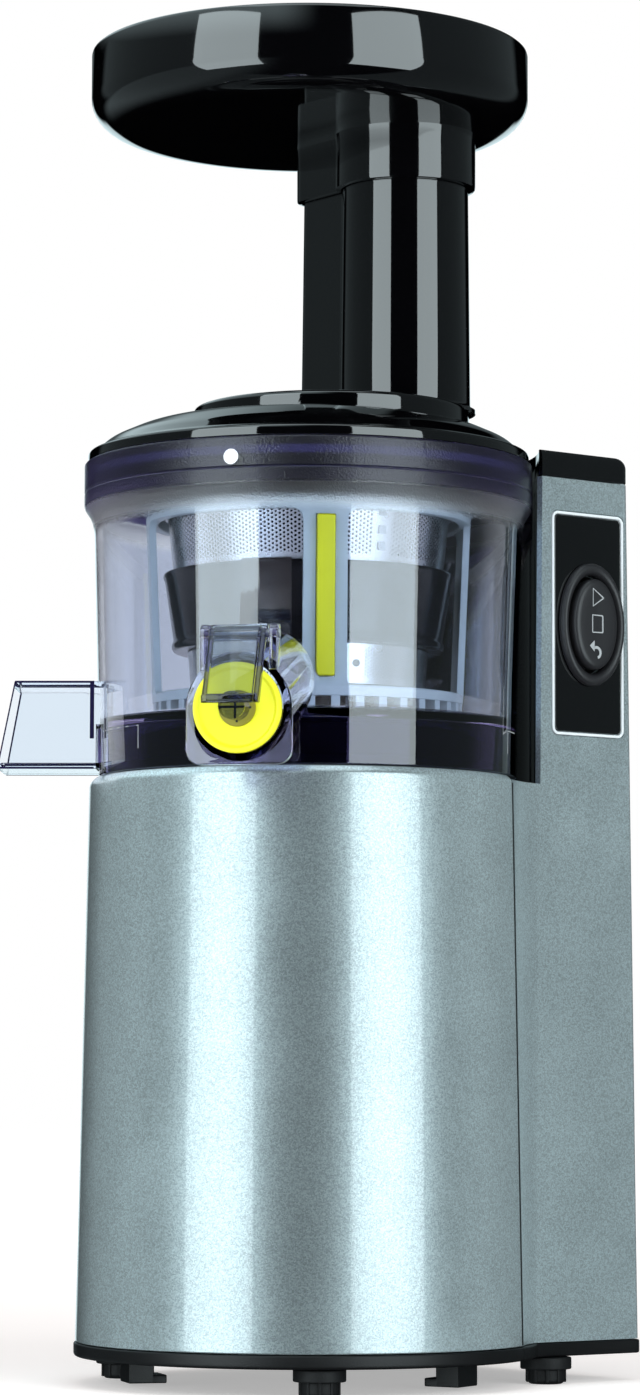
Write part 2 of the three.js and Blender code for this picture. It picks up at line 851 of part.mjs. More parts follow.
function makeTopDeck() {
  const top = deckLevel - seatGap;
  const bossTop = bowlFloor - bowlFloorThickness - seatGap;
  const collarOuter = skirtInnerRadius - runningGap;
  const notchHalf = chuteHalfWidth + cutOverrun;
  const notchStart = pulpHoleInner - chuteWall - cutOverrun;
  const notchBottom = bowlBottom + chuteBottomRise - runningGap;
  const reach = bodyBottomRadius;
  const disc = rod(deckRadius, deckBottom, top, [0, 0], wideSegments);
  const boss = rod(deckBossRadius, deckBottom, bossTop, [0, 0], wideSegments);
  const collarInner = collarOuter - deckCollarWidth;
  const collar = ring(collarInner, collarOuter, deckBottom, top + deckCollarHeight, wideSegments);
  const notch = turnedAbout(
    block([notchStart, -notchHalf, notchBottom], [reach, notchHalf, bossTop + cutOverrun]),
    chuteAngle,
  );
  const roofHalf = notchHalf + deckWall;
  const keptRoof = turnedAbout(
    block([notchStart - deckWall, -roofHalf, notchBottom - deckWall], [reach, roofHalf, bossTop]),
    chuteAngle,
  );
  const hollow = cut(
    rod(deckBossRadius - deckWall, deckBottom - cutOverrun, bossTop - deckWall, [0, 0], middleSegments),
    keptRoof,
    rod(bearingRadius + deckHubWall, deckBottom - 2 * cutOverrun, bossTop),
  );
  const pillars = screwPlaces().map((place) =>
    rod(deckPillarRadius, coverTop + seatGap, bossTop - cutOverrun, place, tinySegments),
  );
  const threads = screwPlaces().map((place) =>
    rod(screwShankRadius + seatGap, coverTop, coverTop + screwBite + cutOverrun, place, tinySegments),
  );
  const seatTop = deckBottom + bearingWidth + seatGap;
  const bearingSeat = rod(bearingRadius + seatGap, deckBottom - cutOverrun, seatTop);
  const shaftHole = rod(driveShaftRadius + runningGap, deckBottom, bossTop + cutOverrun);
  const body = cut(joined(disc, boss, collar), hollow);
  const withPillars = joined(body, ...pillars);
  return cut(withPillars, notch, bearingSeat, shaftHole, ...threads);
}

function screwPlaces() {
  const side = wheelTip + runningGap + housingWall + housingEarRadius - seatGap;
  return [
    [-side, 0],
    [side, 0],
    [-side, gearDistance],
    [side, gearDistance],
  ];
}

// Switch panel

function panelLevel() {
  return deckLevel + panelCentreRise + seatGap;
}

// Lays a solid drawn as [y, z, x] about a centre onto the side of the column.
function onSide(solid, centreY) {
  const matrix = new THREE.Matrix4().set(0, 0, 1, 0, 1, 0, 0, centreY, 0, 1, 0, panelLevel(), 0, 0, 0, 1);
  return placed(solid, matrix);
}

function onPanel(outline, fromX, toX) {
  return onSide(prism(outline, fromX, toX), panelCentreY);
}

function onSwitch(outline, fromX, toX) {
  return onSide(prism(outline, fromX, toX), rockerCentreY);
}

function panelPocket() {
  const outline = roundedRectangle(panelWidth + 2 * seatGap, panelHeight + 2 * seatGap, panelCorner);
  return onPanel(outline, columnHalfWidth - panelPocketDepth, columnHalfWidth + cutOverrun);
}

function switchOpening() {
  const outline = oval(rockerWidth + 2 * rockerGap, rockerHeight + 2 * rockerGap);
  return onSwitch(outline, columnHalfWidth - 2 * shellWall, columnHalfWidth + bezelProud + cutOverrun);
}

function makePanelPlate() {
  const shrink = 2 * (panelLine + seatGap);
  const outline = roundedRectangle(panelWidth - shrink, panelHeight - shrink, panelCorner - panelLine);
  const plate = onPanel(outline, columnHalfWidth - panelPocketDepth + seatGap, columnHalfWidth);
  return cut(plate, switchOpening());
}

function makePanelFrame() {
  const outer = roundedRectangle(panelWidth, panelHeight, panelCorner);
  const innerWidth = panelWidth - 2 * panelLine;
  const innerHeight = panelHeight - 2 * panelLine;
  const inner = roundedRectangle(innerWidth, innerHeight, panelCorner - panelLine);
  const back = columnHalfWidth - panelPocketDepth + seatGap;
  const front = columnHalfWidth + panelLineProud;
  return cut(onPanel(outer, back, front), onPanel(inner, back - cutOverrun, front + cutOverrun));
}

function makeRockerBezel() {
  const back = columnHalfWidth + seatGap;
  const front = columnHalfWidth + bezelProud;
  const wide = atLevel(oval(bezelWidth, bezelHeight), back);
  const narrow = atLevel(oval(bezelWidth - bezelSlope, bezelHeight - bezelSlope), front);
  return cut(onSide(loft([wide, narrow]), rockerCentreY), switchOpening());
}

function makeRocker() {
  const back = columnHalfWidth - rockerDepth;
  const middle = columnHalfWidth + panelLineProud;
  const front = columnHalfWidth + rockerProud;
  const small = oval(rockerWidth - rockerBackNarrowing, rockerHeight - rockerBackShortening);
  const sections = [
    atLevel(small, back),
    atLevel(oval(rockerWidth, rockerHeight), middle),
    atLevel(oval(rockerWidth - 2 * rockerCrown, rockerHeight - 2 * rockerCrown), front),
  ];
  const hole = alongY(
    rockerPinRadius + seatGap,
    rockerCentreY - rockerWidth,
    rockerCentreY + rockerWidth,
    columnHalfWidth - rockerPinDepth,
    panelLevel(),
  );
  return cut(onSide(loft(sections), rockerCentreY), hole);
}

// A rod along Y through the given x and z.
function alongY(radius, from, to, x, z, segments = tinySegments) {
  const geometry = new THREE.CylinderGeometry(radius, radius, to - from, segments);
  geometry.translate(x, (from + to) / 2, z);
  return solidOf(geometry);
}

function switchHalfWidth() {
  return rockerWidth / 2 + rockerGap + switchMargin;
}

function makeRockerPin() {
  const half = switchHalfWidth() - seatGap;
  const x = columnHalfWidth - rockerPinDepth;
  return alongY(rockerPinRadius, rockerCentreY - half, rockerCentreY + half, x, panelLevel());
}

// Box behind the panel, trimmed to stay inside the column and clear of the liner.
function makeSwitchHousing() {
  const halfWidth = switchHalfWidth();
  const halfHeight = rockerHeight / 2 + rockerGap + switchMargin;
  const front = columnHalfWidth - shellWall - seatGap;
  const z = panelLevel();
  const cavityBack = columnHalfWidth - rockerDepth - switchCavityMargin;
  const bottom = z - halfHeight;
  const top = z + halfHeight;
  const body = block(
    [front - housingDepth, rockerCentreY - halfWidth, bottom],
    [front, rockerCentreY + halfWidth, top],
  ).intersect(prism(columnOutline(top, shellWall + seatGap, false), bottom - cutOverrun, top + cutOverrun));
  const clearOfLiner = linerRadius + linerThickness + runningGap;
  const liner = rod(clearOfLiner, bottom - cutOverrun, top + cutOverrun, [0, 0], wideSegments);
  const opening = oval(rockerWidth + 2 * rockerGap, rockerHeight + 2 * rockerGap);
  const cavity = onSwitch(opening, cavityBack, front + cutOverrun);
  const hole = alongY(
    rockerPinRadius + seatGap,
    rockerCentreY - halfWidth - cutOverrun,
    rockerCentreY + halfWidth + cutOverrun,
    columnHalfWidth - rockerPinDepth,
    z,
  );
  return cut(body, liner, cavity, hole);
}

// Electrics

function boardPostPlaces() {
  const x = boardWidth / 2 - 2 * boardPostRadius;
  const low = boardBottom + 2 * boardPostRadius;
  const high = boardBottom + boardHeight - 2 * boardPostRadius;
  return [
    [-x, low],
    [x, low],
    [-x, high],
    [x, high],
  ];
}

function boardBack() {
  return columnBack(boardBottom + boardHeight) - shellWall - boardStandoff;
}

function makeBoardPost(x, z) {
  return alongY(boardPostRadius, boardBack() + seatGap, columnBack(z) - shellWall / 2, x, z);
}

function makeControlBoard() {
  const back = boardBack();
  const half = boardWidth / 2;
  const top = boardBottom + boardHeight;
  return block([-half, back - boardThickness, boardBottom], [half, back, top]);
}

function makeCapacitor() {
  const front = boardBack() - boardThickness - seatGap;
  const z = boardBottom + boardHeight / 2;
  return alongY(capacitorRadius, front - capacitorHeight, front, boardWidth / 4, z, smallSegments);
}

function glandLevel() {
  return shellBottom + glandRise;
}

function makeCordInlet() {
  const z = glandLevel();
  const outside = columnBack(z);
  const flangeFrom = outside + seatGap;
  const flangeTo = flangeFrom + glandFlangeThickness;
  const flange = alongY(glandFlangeRadius, flangeFrom, flangeTo, 0, z, smallSegments);
  const barrelTo = outside + glandFlangeThickness;
  const barrel = alongY(glandRadius, outside - glandReach, barrelTo, 0, z, smallSegments);
  const bore = alongY(glandBore, outside - 2 * glandReach, outside + glandReach, 0, z);
  return cut(joined(flange, barrel), bore);
}

// Motor

function makeMotorCan() {
  const floorTop = canBottom + motorCanWall;
  const seat = motorBearingRadius + seatGap;
  return turned(
    [
      [motorShaftRadius + runningGap, canBottom],
      [motorRadius, canBottom],
      [motorRadius, canTop],
      [motorRadius - motorCanWall, canTop],
      [motorRadius - motorCanWall, floorTop],
      [seat + motorCanWall, floorTop],
      [seat + motorCanWall, floorTop + bearingWidth],
      [seat, floorTop + bearingWidth],
      [seat, floorTop],
      [motorShaftRadius + runningGap, floorTop],
    ],
    middleSegments,
  );
}

function makeMotorBell() {
  const seat = motorBearingRadius + seatGap;
  return turned(
    [
      [seat, bellBottom],
      [motorRadius, bellBottom],
      [motorRadius, bellTop],
      [motorShaftRadius + runningGap, bellTop],
      [motorShaftRadius + runningGap, bellTop - motorCanWall / 2],
      [seat, bellTop - motorCanWall / 2],
    ],
    middleSegments,
  );
}

function makeMotorBearing(bottom) {
  const top = bottom + bearingWidth - seatGap;
  return ring(motorShaftRadius + seatGap, motorBearingRadius, bottom, top, smallSegments);
}

function makeStatorCore() {
  return ring(statorInnerRadius, motorRadius - motorCanWall - seatGap, statorBottom, statorTop);
}

// Copper end turns above and below the core, joined by the wires in its slots.
function makeStatorWinding() {
  const outer = statorInnerRadius - seatGap;
  const inner = outer - windingLiner;
  return turned(
    [
      [inner, statorBottom - windingHeight],
      [windingRadius, statorBottom - windingHeight],
      [windingRadius, statorBottom - seatGap],
      [outer, statorBottom - seatGap],
      [outer, statorTop + seatGap],
      [windingRadius, statorTop + seatGap],
      [windingRadius, statorTop + windingHeight],
      [inner, statorTop + windingHeight],
    ],
    middleSegments,
  );
}

function makeRotorCore() {
  const outer = Math.min(rotorRadius, statorInnerRadius - windingLiner - 2 * seatGap);
  return ring(motorShaftRadius + seatGap, outer, statorBottom, statorTop);
}

function makeMotorShaft() {
  const shaft = rod(motorShaftRadius, shaftBottom, firstStageTop);
  const outline = gearOutline(pinionTeeth, driveToothSize, driveShares);
  const teeth = prism(outline, firstStageBottom - stageGap / 2, firstStageTop);
  return joined(shaft, turnedAbout(teeth, quarterTurn));
}

function makeCoolingFan() {
  const bottom = shaftBottom;
  const plateTop = bottom + fanPlateThickness;
  const plate = ring(motorShaftRadius + seatGap, fanRadius, bottom, plateTop);
  const hub = ring(motorShaftRadius + seatGap, fanHubRadius, bottom, fanTop, smallSegments);
  const blades = [];
  for (let i = 0; i < fanBladeCount; i += 1) {
    const blade = block(
      [fanHubRadius - fanBladeThickness, -fanBladeThickness / 2, bottom],
      [fanRadius - fanBladeThickness, fanBladeThickness / 2, plateTop + fanBladeHeight - fanPlateThickness],
    );
    blades.push(turnedAbout(blade, (fullTurn * i) / fanBladeCount));
  }
  return joined(plate, hub, ...blades);
}

// Gear train

function housingOutline(offset) {
  const radius = wheelTip + runningGap + offset;
  return [
    ...arc([0, gearDistance], radius, 0, halfTurn, housingArcSteps),
    ...arc([0, 0], radius, halfTurn, fullTurn, housingArcSteps),
  ];
}

function makeEars(bottom, top) {
  return screwPlaces().flatMap(([x, y]) => {
    const ear = rod(housingEarRadius, bottom, top, [x, y], tinySegments);
    const bridgeFrom = Math.sign(x) * (wheelTip + runningGap + housingWall / 2);
    const low = Math.min(bridgeFrom, x);
    const high = Math.max(bridgeFrom, x);
    const bridge = block([low, y - housingEarRadius / 2, bottom], [high, y + housingEarRadius / 2, top]);
    return [ear, bridge];
  });
}

function screwHoles(bottom, top) {
  const radius = screwShankRadius + seatGap;
  const from = bottom - cutOverrun;
  const to = top + cutOverrun;
  return screwPlaces().map((place) => rod(radius, from, to, place, tinySegments));
}

function makeGearboxHousing() {
  const earBottom = housingTop - housingCoverThickness;
  const outside = prism(housingOutline(housingWall), housingBottom, housingTop);
  const inside = prism(housingOutline(0), housingInside, housingTop + cutOverrun);
  const pinionRoom = driveToothSize * (pinionTeeth / 2 + pinionRoomShare) + runningGap;
  const pinionHole = rod(pinionRoom, housingBottom - cutOverrun, housingInside + cutOverrun);
  const bushHole = rod(
    counterShaftRadius + bushWall + 2 * seatGap,
    housingBottom + cutOverrun,
    housingInside + cutOverrun,
    [0, gearDistance],
  );
  const ears = makeEars(earBottom, housingTop).map((ear) => cut(ear, inside));
  const body = joined(cut(outside, inside), ...ears);
  return cut(body, pinionHole, bushHole, ...screwHoles(earBottom, housingTop));
}

function makeGearboxCover() {
  const lid = prism(housingOutline(housingWall), coverBottom, coverTop);
  const plate = joined(lid, ...makeEars(coverBottom, coverTop));
  const bossTop = coverTop + bearingWidth;
  const bearingBoss = rod(bearingRadius + deckHubWall, coverBottom, bossTop);
  const bearingHole = rod(bearingRadius + seatGap, coverTop - seatGap, bossTop + cutOverrun);
  const shaftHole = rod(driveShaftRadius + runningGap, coverBottom - cutOverrun, coverTop + cutOverrun);
  const bushHole = rod(
    counterShaftRadius + bushWall + 2 * seatGap,
    coverBottom - cutOverrun,
    coverTop - cutOverrun,
    [0, gearDistance],
  );
  const holes = [bearingHole, shaftHole, bushHole, ...screwHoles(coverBottom, coverTop)];
  return cut(joined(plate, bearingBoss), ...holes);
}

function makeBush(bottom, top) {
  const inner = counterShaftRadius + seatGap;
  return shifted(ring(inner, inner + bushWall, bottom, top, smallSegments), 0, gearDistance, 0);
}

function makeScrew([x, y]) {
  const headTop = housingTop - housingCoverThickness - seatGap;
  const profile = [
    [0, headTop - screwHeadHeight],
    [screwHeadRadius, headTop - screwHeadHeight],
    [screwHeadRadius, headTop],
    [screwShankRadius, headTop],
    [screwShankRadius, coverTop + screwBite],
    [0, coverTop + screwBite],
  ];
  return shifted(turned(profile, tinySegments), x, y, 0);
}

function makeCounterGear() {
  const outline = gearOutline(wheelTeeth, driveToothSize, driveShares, gapFirstShare);
  const turnedTeeth = turnedAbout(prism(outline, firstStageBottom, firstStageTop), -quarterTurn);
  const bore = rod(counterShaftRadius + seatGap, firstStageBottom - cutOverrun, firstStageTop + cutOverrun);
  return shifted(cut(turnedTeeth, bore), 0, gearDistance, 0);
}

function makeCounterPinion() {
  const outline = gearOutline(pinionTeeth, driveToothSize, driveShares);
  const teeth = turnedAbout(prism(outline, secondStageBottom, secondStageTop), -quarterTurn);
  const shaft = rod(counterShaftRadius, housingBottom + 2 * cutOverrun, coverTop - 2 * cutOverrun);
  return shifted(joined(teeth, shaft), 0, gearDistance, 0);
}

function makeOutputGear() {
  const outline = gearOutline(wheelTeeth, driveToothSize, driveShares, gapFirstShare);
  const teeth = prism(outline, secondStageBottom, secondStageTop);
  const bore = rod(driveShaftRadius + seatGap, secondStageBottom - cutOverrun, secondStageTop + cutOverrun);
  return cut(turnedAbout(teeth, quarterTurn), bore);
}

function hexagon(cornerRadius) {
  return arc([0, 0], cornerRadius, 0, fullTurn, hexSides).slice(1);
}

function makeDriveShaft() {
  const roundTop = bowlFloor + seatGap;
  const round = rod(driveShaftRadius, secondStageBottom, roundTop);
  return joined(round, prism(hexagon(driveHexRadius), roundTop - cutOverrun, roundTop + driveHexLength));
}

function makeOutputBearing(bottom) {
  const top = bottom + bearingWidth - seatGap;
  return ring(driveShaftRadius + seatGap, bearingRadius, bottom, top, smallSegments);
}

// Bowl

// Moves a piece drawn about the middle of the spout's mouth, with +X pointing out of it, to its place.
function mouthPlace() {
  const reach = new THREE.Matrix4().makeTranslation(spoutEndReach, 0, bowlBottom + spoutEndRise);
  return new THREE.Matrix4().makeRotationZ(radians(spoutAngle)).multiply(reach);
}

// A rod or cone along X about the mouth's middle; sloping rods follow the tube down and out.
function mouthRod(radius, from, to, segments = middleSegments, endRadius = radius, slope = 0) {
  const geometry = new THREE.CylinderGeometry(radius, endRadius, to - from, segments);
  geometry.rotateZ(Math.PI / 2);
  geometry.translate((from + to) / 2, 0, 0);
  geometry.rotateY(radians(slope));
  return solidOf(geometry.applyMatrix4(mouthPlace()));
}

function tubeRod(radius, from, to) {
  return mouthRod(radius, from, to, middleSegments, radius, spoutSlope);
}

function mouthBlock(low, high) {
  return placed(block(low, high), mouthPlace());
}

// A slab whose outline is drawn as [x, z] beside the mouth, from one y to another.
function mouthSlab(outline, fromY, toY) {
  const upright = new THREE.Matrix4().set(1, 0, 0, 0, 0, 0, 1, 0, 0, 1, 0, 0, 0, 0, 0, 1);
  return placed(prism(outline, fromY, toY), mouthPlace().multiply(upright));
}

function spoutLength() {
  return (spoutEndReach - spoutRootReach) / Math.cos(radians(spoutSlope));
}

function makeSpoutTube() {
  const beyond = spoutRadius;
  const tube = tubeRod(spoutRadius, -spoutLength(), beyond);
  const side = 2 * spoutRadius;
  return cut(tube, mouthBlock([0, -side, -side], [side, side, side]));
}

// End flange: round on top and a rounded square below.
function makeSpoutFlange() {
  const w = spoutFlangeHalfWidth;
  const d = spoutFlangeDrop;
  const c = spoutFlangeCorner;
  const outline = [
    ...arc([0, 0], w, 0, halfTurn, spoutFlangeSteps),
    ...arc([-w + c, -d + c], c, halfTurn, threeQuarterTurn, cornerSteps),
    ...arc([w - c, -d + c], c, threeQuarterTurn, fullTurn, cornerSteps),
  ];
  const facing = new THREE.Matrix4().set(0, 0, 1, 0, 1, 0, 0, 0, 0, 1, 0, 0, 0, 0, 0, 1);
  return placed(prism(outline, -spoutFlangeThickness, 0), mouthPlace().multiply(facing));
}

function makeCapEars() {
  const inner = capLeverHalfWidth + runningGap;
  const outer = inner + capEarThickness;
  const back = -capHingeBack - capKnuckleRadius;
  const front = capKnuckleRadius - capHingeBack;
  const foot = spoutRadius - spoutFlangeCorner;
  const top = capHingeHeight + capKnuckleRadius;
  const left = mouthBlock([back, inner, foot], [front, outer, top]);
  const right = mouthBlock([back, -outer, foot], [front, -inner, top]);
  return joined(left, right);
}

// A rod across the spout through the cap's hinge axis.
function makeCapRod(radius, halfLength) {
  const geometry = new THREE.CylinderGeometry(radius, radius, 2 * halfLength, tinySegments);
  geometry.translate(-capHingeBack, 0, capHingeHeight);
  return solidOf(geometry.applyMatrix4(mouthPlace()));
}

function capPinHole() {
  return makeCapRod(capPinRadius + seatGap, capPinHalfLength + cutOverrun);
}

function makeChuteOuter() {
  const bottom = bowlBottom + chuteBottomRise;
  const top = bowlBottom + chuteTopRise;
  return chuteBody(chuteHalfWidth, bottom, top, skirtInnerRadius - chuteWall, 0);
}

// Duct with a slanted mouth, from an inner reach out to its tip.
function chuteBody(halfWidth, bottom, top, inner, overrun) {
  const side = [
    [inner, bottom],
    [chuteReachBottom + overrun, bottom],
    [chuteReachTop + overrun, top],
    [inner, top],
  ];
  const sections = [-halfWidth, halfWidth].map((y) => side.map(([x, z]) => [x, y, z]));
  return turnedAbout(loft(sections), chuteAngle);
}

function makeBowlShell() {
  const waist = bowlBottom + bowlWaistRise;
  const shoulder = bowlBottom + bowlShoulderRise;
  const flare = bowlBottom + bowlFlareRise;
  const bend = (shoulder + flare) / 2;
  const underFloor = bowlFloor - bowlFloorThickness;
  const rimInner = bowlRimRadius - bowlRimWall;
  return turned([
    [skirtInnerRadius, bowlBottom],
    [skirtRadius, bowlBottom],
    [bowlWaistRadius, waist],
    [bowlShoulderRadius, shoulder],
    [mix(bowlShoulderRadius, bowlRimRadius, bowlFlareShare), bend],
    [bowlRimRadius, flare],
    [bowlRimRadius, bowlTop],
    [rimInner, bowlTop],
    [rimInner, flare + bowlWall],
    [bowlShoulderRadius - bowlWall, shoulder + bowlWall],
    [bowlWaistRadius - bowlWall, waist],
    [skirtInnerRadius, bowlFloor],
    [sealSeatRadius, bowlFloor],
    [sealSeatRadius, underFloor],
    [skirtInnerRadius, underFloor],
  ]);
}

function makeBowl() {
  const underFloor = bowlFloor - bowlFloorThickness;
  const chuteBottom = bowlBottom + chuteBottomRise;
  const insideRadius = skirtInnerRadius;
  const inside = rod(insideRadius, bowlFloor, bowlTop, [0, 0], wideSegments);
  const spout = cut(makeSpoutTube(), inside);
  const pocketInner = pulpHoleInner - chuteWall;
  const pocketTop = bowlFloor - cutOverrun;
  const pocket = turnedAbout(
    block([pocketInner, -chuteHalfWidth, chuteBottom], [skirtRadius, chuteHalfWidth, pocketTop]),
    chuteAngle,
  );
  const pulpWay = turnedAbout(
    block(
      [pulpHoleInner, chuteWall - chuteHalfWidth, chuteBottom + chuteWall],
      [skirtRadius + chuteWall, chuteHalfWidth - chuteWall, underFloor],
    ),
    chuteAngle,
  );
  const pulpHole = turnedAbout(
    block(
      [pulpHoleInner, chuteWall - chuteHalfWidth, underFloor - cutOverrun],
      [pulpHoleOuter, chuteHalfWidth - chuteWall, bowlFloor + cutOverrun],
    ),
    chuteAngle,
  );
  const mouth = chuteBody(
    chuteHalfWidth - chuteWall,
    chuteBottom + chuteWall,
    bowlBottom + chuteTopRise - chuteWall,
    skirtRadius + chuteWall / 2,
    cutOverrun,
  );
  const chute = cut(makeChuteOuter(), inside);
  const pinBottom = bowlFloor - cutOverrun;
  const pinTop = gearLevel + bowlGearHeight + seatGap;
  const idlerPin = rod(idlerPinRadius, pinBottom, pinTop, polar(idlerReach, idlerAngle));
  const restPlaces = restPostAngles.map((angle) => polar(restPostReach, angle));
  const rests = restPlaces.map((place) =>
    rod(restPostRadius, pinBottom, strainerBottom - seatGap, place, tinySegments),
  );
  const outlets = [spout, makeSpoutFlange(), makeCapEars(), pocket, chute];
  const body = joined(makeBowlShell(), ...outlets, idlerPin, ...rests);
  const bore = tubeRod(spoutBore, -spoutLength() + spoutWallBite, 0);
  const boreMouth = mouthRod(spoutBore, -spoutMouthDepth, cutOverrun);
  return cut(body, bore, boreMouth, pulpWay, pulpHole, mouth, capPinHole());
}

function makeBowlSeal() {
  const bottom = bowlFloor - bowlFloorThickness + seatGap;
  const top = bowlFloor + seatGap;
  return ring(driveShaftRadius + seatGap, sealSeatRadius - seatGap, bottom, top, smallSegments);
}

// Cap of the juice spout

// Clear channel that slants out and down from its hinge; its stem carries the plug.
function makeCapLever() {
  const w = capLeverHalfWidth;
  const t = capLeverThickness;
  const shoulder = capLeverShoulder - capHingeBack;
  const faceX = seatGap + plugFaceThickness + seatGap;
  const plate = [
    [-capHingeBack, capHingeHeight],
    [shoulder, capHingeHeight],
    [capLeverReach - t, capLeverEnd],
    [capLeverReach, capLeverEnd],
    [shoulder + t, capHingeHeight + capKnuckleRadius / 2],
    [-capHingeBack, capHingeHeight + capKnuckleRadius],
  ];
  const rib = [
    [-capHingeBack, capHingeHeight],
    [shoulder, capHingeHeight + capKnuckleRadius / 2],
    [capLeverReach - t / 2, capLeverEnd],
    [capLeverReach - t - capRibDepth, capLeverEnd],
    [shoulder - capRibDepth / 2, capHingeHeight - capKnuckleRadius / 2],
  ];
  const sides = [mouthSlab(rib, -w, capRibWidth - w), mouthSlab(rib, w - capRibWidth, w)];
  const foot = mouthBlock(
    [capLeverReach - t - capRibDepth, -w, capLeverEnd],
    [capLeverReach - t / 2, w, capLeverEnd + capRibWidth],
  );
  const stem = mouthRod(capBossRadius, faceX, capLeverReach - 2 * t, smallSegments);
  const body = joined(makeCapRod(capKnuckleRadius, w), mouthSlab(plate, -w, w), ...sides, foot, stem);
  return cut(body, makeCapRod(capPinRadius + seatGap, capPinHalfLength));
}

// Silicone stopper with a dished face and a raised hub in its middle.
function makeSpoutPlug() {
  const front = seatGap + plugFaceThickness;
  const tip = plugRadius - plugTaper;
  const stopper = mouthRod(plugRadius, -plugDepth, seatGap + weldTolerance, middleSegments, tip);
  const face = mouthRod(plugFaceRadius, seatGap, front);
  const dish = mouthRod(plugDishRadius, front - plugDishDepth, front + cutOverrun);
  const hub = mouthRod(plugHubRadius, 0, front, smallSegments);
  return joined(cut(joined(stopper, face), dish), hub);
}

// Gears of the bowl

function makeIdler() {
  const top = gearLevel + bowlGearHeight;
  const teeth = prism(gearOutline(idlerTeeth, bowlToothSize, bowlShares), gearLevel, top);
  const bore = rod(idlerPinRadius + runningGap / 2, gearLevel - cutOverrun, top + cutOverrun);
  const [x, y] = polar(idlerReach, idlerAngle);
  const meshingTurn = idlerAngle + halfTurn + halfTurn / idlerTeeth;
  return shifted(cut(turnedAbout(teeth, meshingTurn), bore), x, y, 0);
}

function makeScrewFlight(start) {
  const bottom = lowerMeshBottom + seatGap;
  const top = strainerTop - funnelInsert - 2 * flightThickness;
  const lowRadius = lowerMeshBottomRadius - meshThickness - flightWallGap;
  const sections = [];
  for (let i = 0; i <= flightSteps; i += 1) {
    const share = i / flightSteps;
    const angle = start + fullTurn * flightTurns * share;
    const z = mix(bottom + flightThickness, top - flightThickness, share);
    const outer = mix(lowRadius, flightTopRadius, share);
    const inner = coreRadius(z) - flightThickness;
    const point = (radius, level) => [...polar(radius, angle), level];
    sections.push([
      point(inner, z - flightThickness),
      point(outer, z - flightCrest),
      point(outer, z + flightCrest),
      point(inner, z + flightThickness),
    ]);
  }
  return loft(sections);
}

function coreBottom() {
  return lowerMeshBottom + seatGap;
}

function coreRadius(level) {
  const share = (level - coreBottom()) / (screwHeight - screwDomeHeight);
  return mix(screwCoreBottomRadius, screwCoreTopRadius, THREE.MathUtils.clamp(share, 0, 1));
}

function makeAuger() {
  const hubTop = coreBottom();
  const coneTop = hubTop + screwHeight - screwDomeHeight;
  const domeTop = gearLevel + screwHeight;
  const gearTop = gearLevel + bowlGearHeight;
  const profile = [
    [0, gearTop - cutOverrun],
    [augerRoot, gearTop - cutOverrun],
    [augerRoot, gearTop + runningGap],
    [screwHubRadius, gearTop + runningGap],
    [screwHubRadius, hubTop - seatGap],
    [screwCoreBottomRadius, hubTop],
    [screwCoreTopRadius, Math.min(coneTop, domeTop - 2 * cutOverrun)],
    [2 * screwPinRadius, domeTop],
    [screwPinRadius, domeTop],
    [screwPinRadius, domeTop + screwPinLength],
    [0, domeTop + screwPinLength],
  ];
  const core = turned(profile, middleSegments);
  const outline = gearOutline(augerTeeth, bowlToothSize, bowlShares);
  const teeth = turnedAbout(prism(outline, gearLevel, gearTop), idlerAngle);
  const flights = [];
  for (let i = 0; i < flightCount; i += 1) flights.push(makeScrewFlight((fullTurn * i) / flightCount));
  const socketTop = bowlFloor + driveHexLength + 2 * seatGap;
  const socket = prism(hexagon(driveHexRadius + runningGap), gearLevel - cutOverrun, socketTop);
  return cut(joined(core, teeth, ...flights), socket);
}

// Strainer

function makeStrainerBase() {
  const top = strainerBottom + strainerBaseThickness;
  return ring(screwHubRadius + screwHubGap, strainerFloorRadius, strainerBottom, top, middleSegments);
}

function meshCone(bottomRadius, topRadius, bottom, top) {
  return [
    [bottomRadius - meshThickness, bottom],
    [bottomRadius, bottom],
    [topRadius, top],
    [topRadius - meshThickness, top],
  ];
}

function makeLowerMesh() {
  const top = lowerMeshBottom + lowerMeshHeight;
  return turned(meshCone(lowerMeshBottomRadius, lowerMeshTopRadius, lowerMeshBottom, top), middleSegments);
}

function makeBand() {
  const top = bandBottom + bandHeight;
  const lowInner = lowerMeshTopRadius - meshThickness;
  const highInner = upperMeshBottomRadius - meshThickness;
  return turned(
    [
      [lowInner, bandBottom],
      [bandBottomRadius, bandBottom],
      [bandBottomRadius, bandBottom + bandFloor],
      [bandTopRadius - seatGap, top - bandFloor],
      [bandTopRadius, top],
      [highInner, top],
      [lowInner, bandBottom + bandFloor],
    ],
    middleSegments,
  );
}

function makeUpperMesh() {
  const top = strainerTop;
  const wall = meshCone(upperMeshBottomRadius, upperMeshTopRadius, upperMeshBottom, top);
  const cone = turned(wall, middleSegments);
  const rim = ring(
    upperMeshTopRadius - meshThickness,
    upperMeshTopRadius + strainerRimWidth,
    top - strainerRimHeight / 2,
    top + strainerRimHeight / 2,
  );
  return joined(cone, rim);
}

// Brush

function brushTop() {
  return gearLevel + brushHeight;
}

function ringBottom() {
  return gearLevel + bowlGearHeight + runningGap;
}

function postOuter(level) {
  return mix(brushRingRadius, brushTopRingRadius, (level - ringBottom()) / (brushTop() - ringBottom()));
}

// An upright slab that leans with the brush frame, between two distances from its outer face.
function brushSlab(width, bottom, top, outward, inward) {
  const section = (z) => {
    const outer = postOuter(z) + outward;
    const inner = postOuter(z) - inward;
    return [
      [inner, -width / 2, z],
      [outer, -width / 2, z],
      [outer, width / 2, z],
      [inner, width / 2, z],
    ];
  };
  return loft([section(bottom), section(top)]);
}

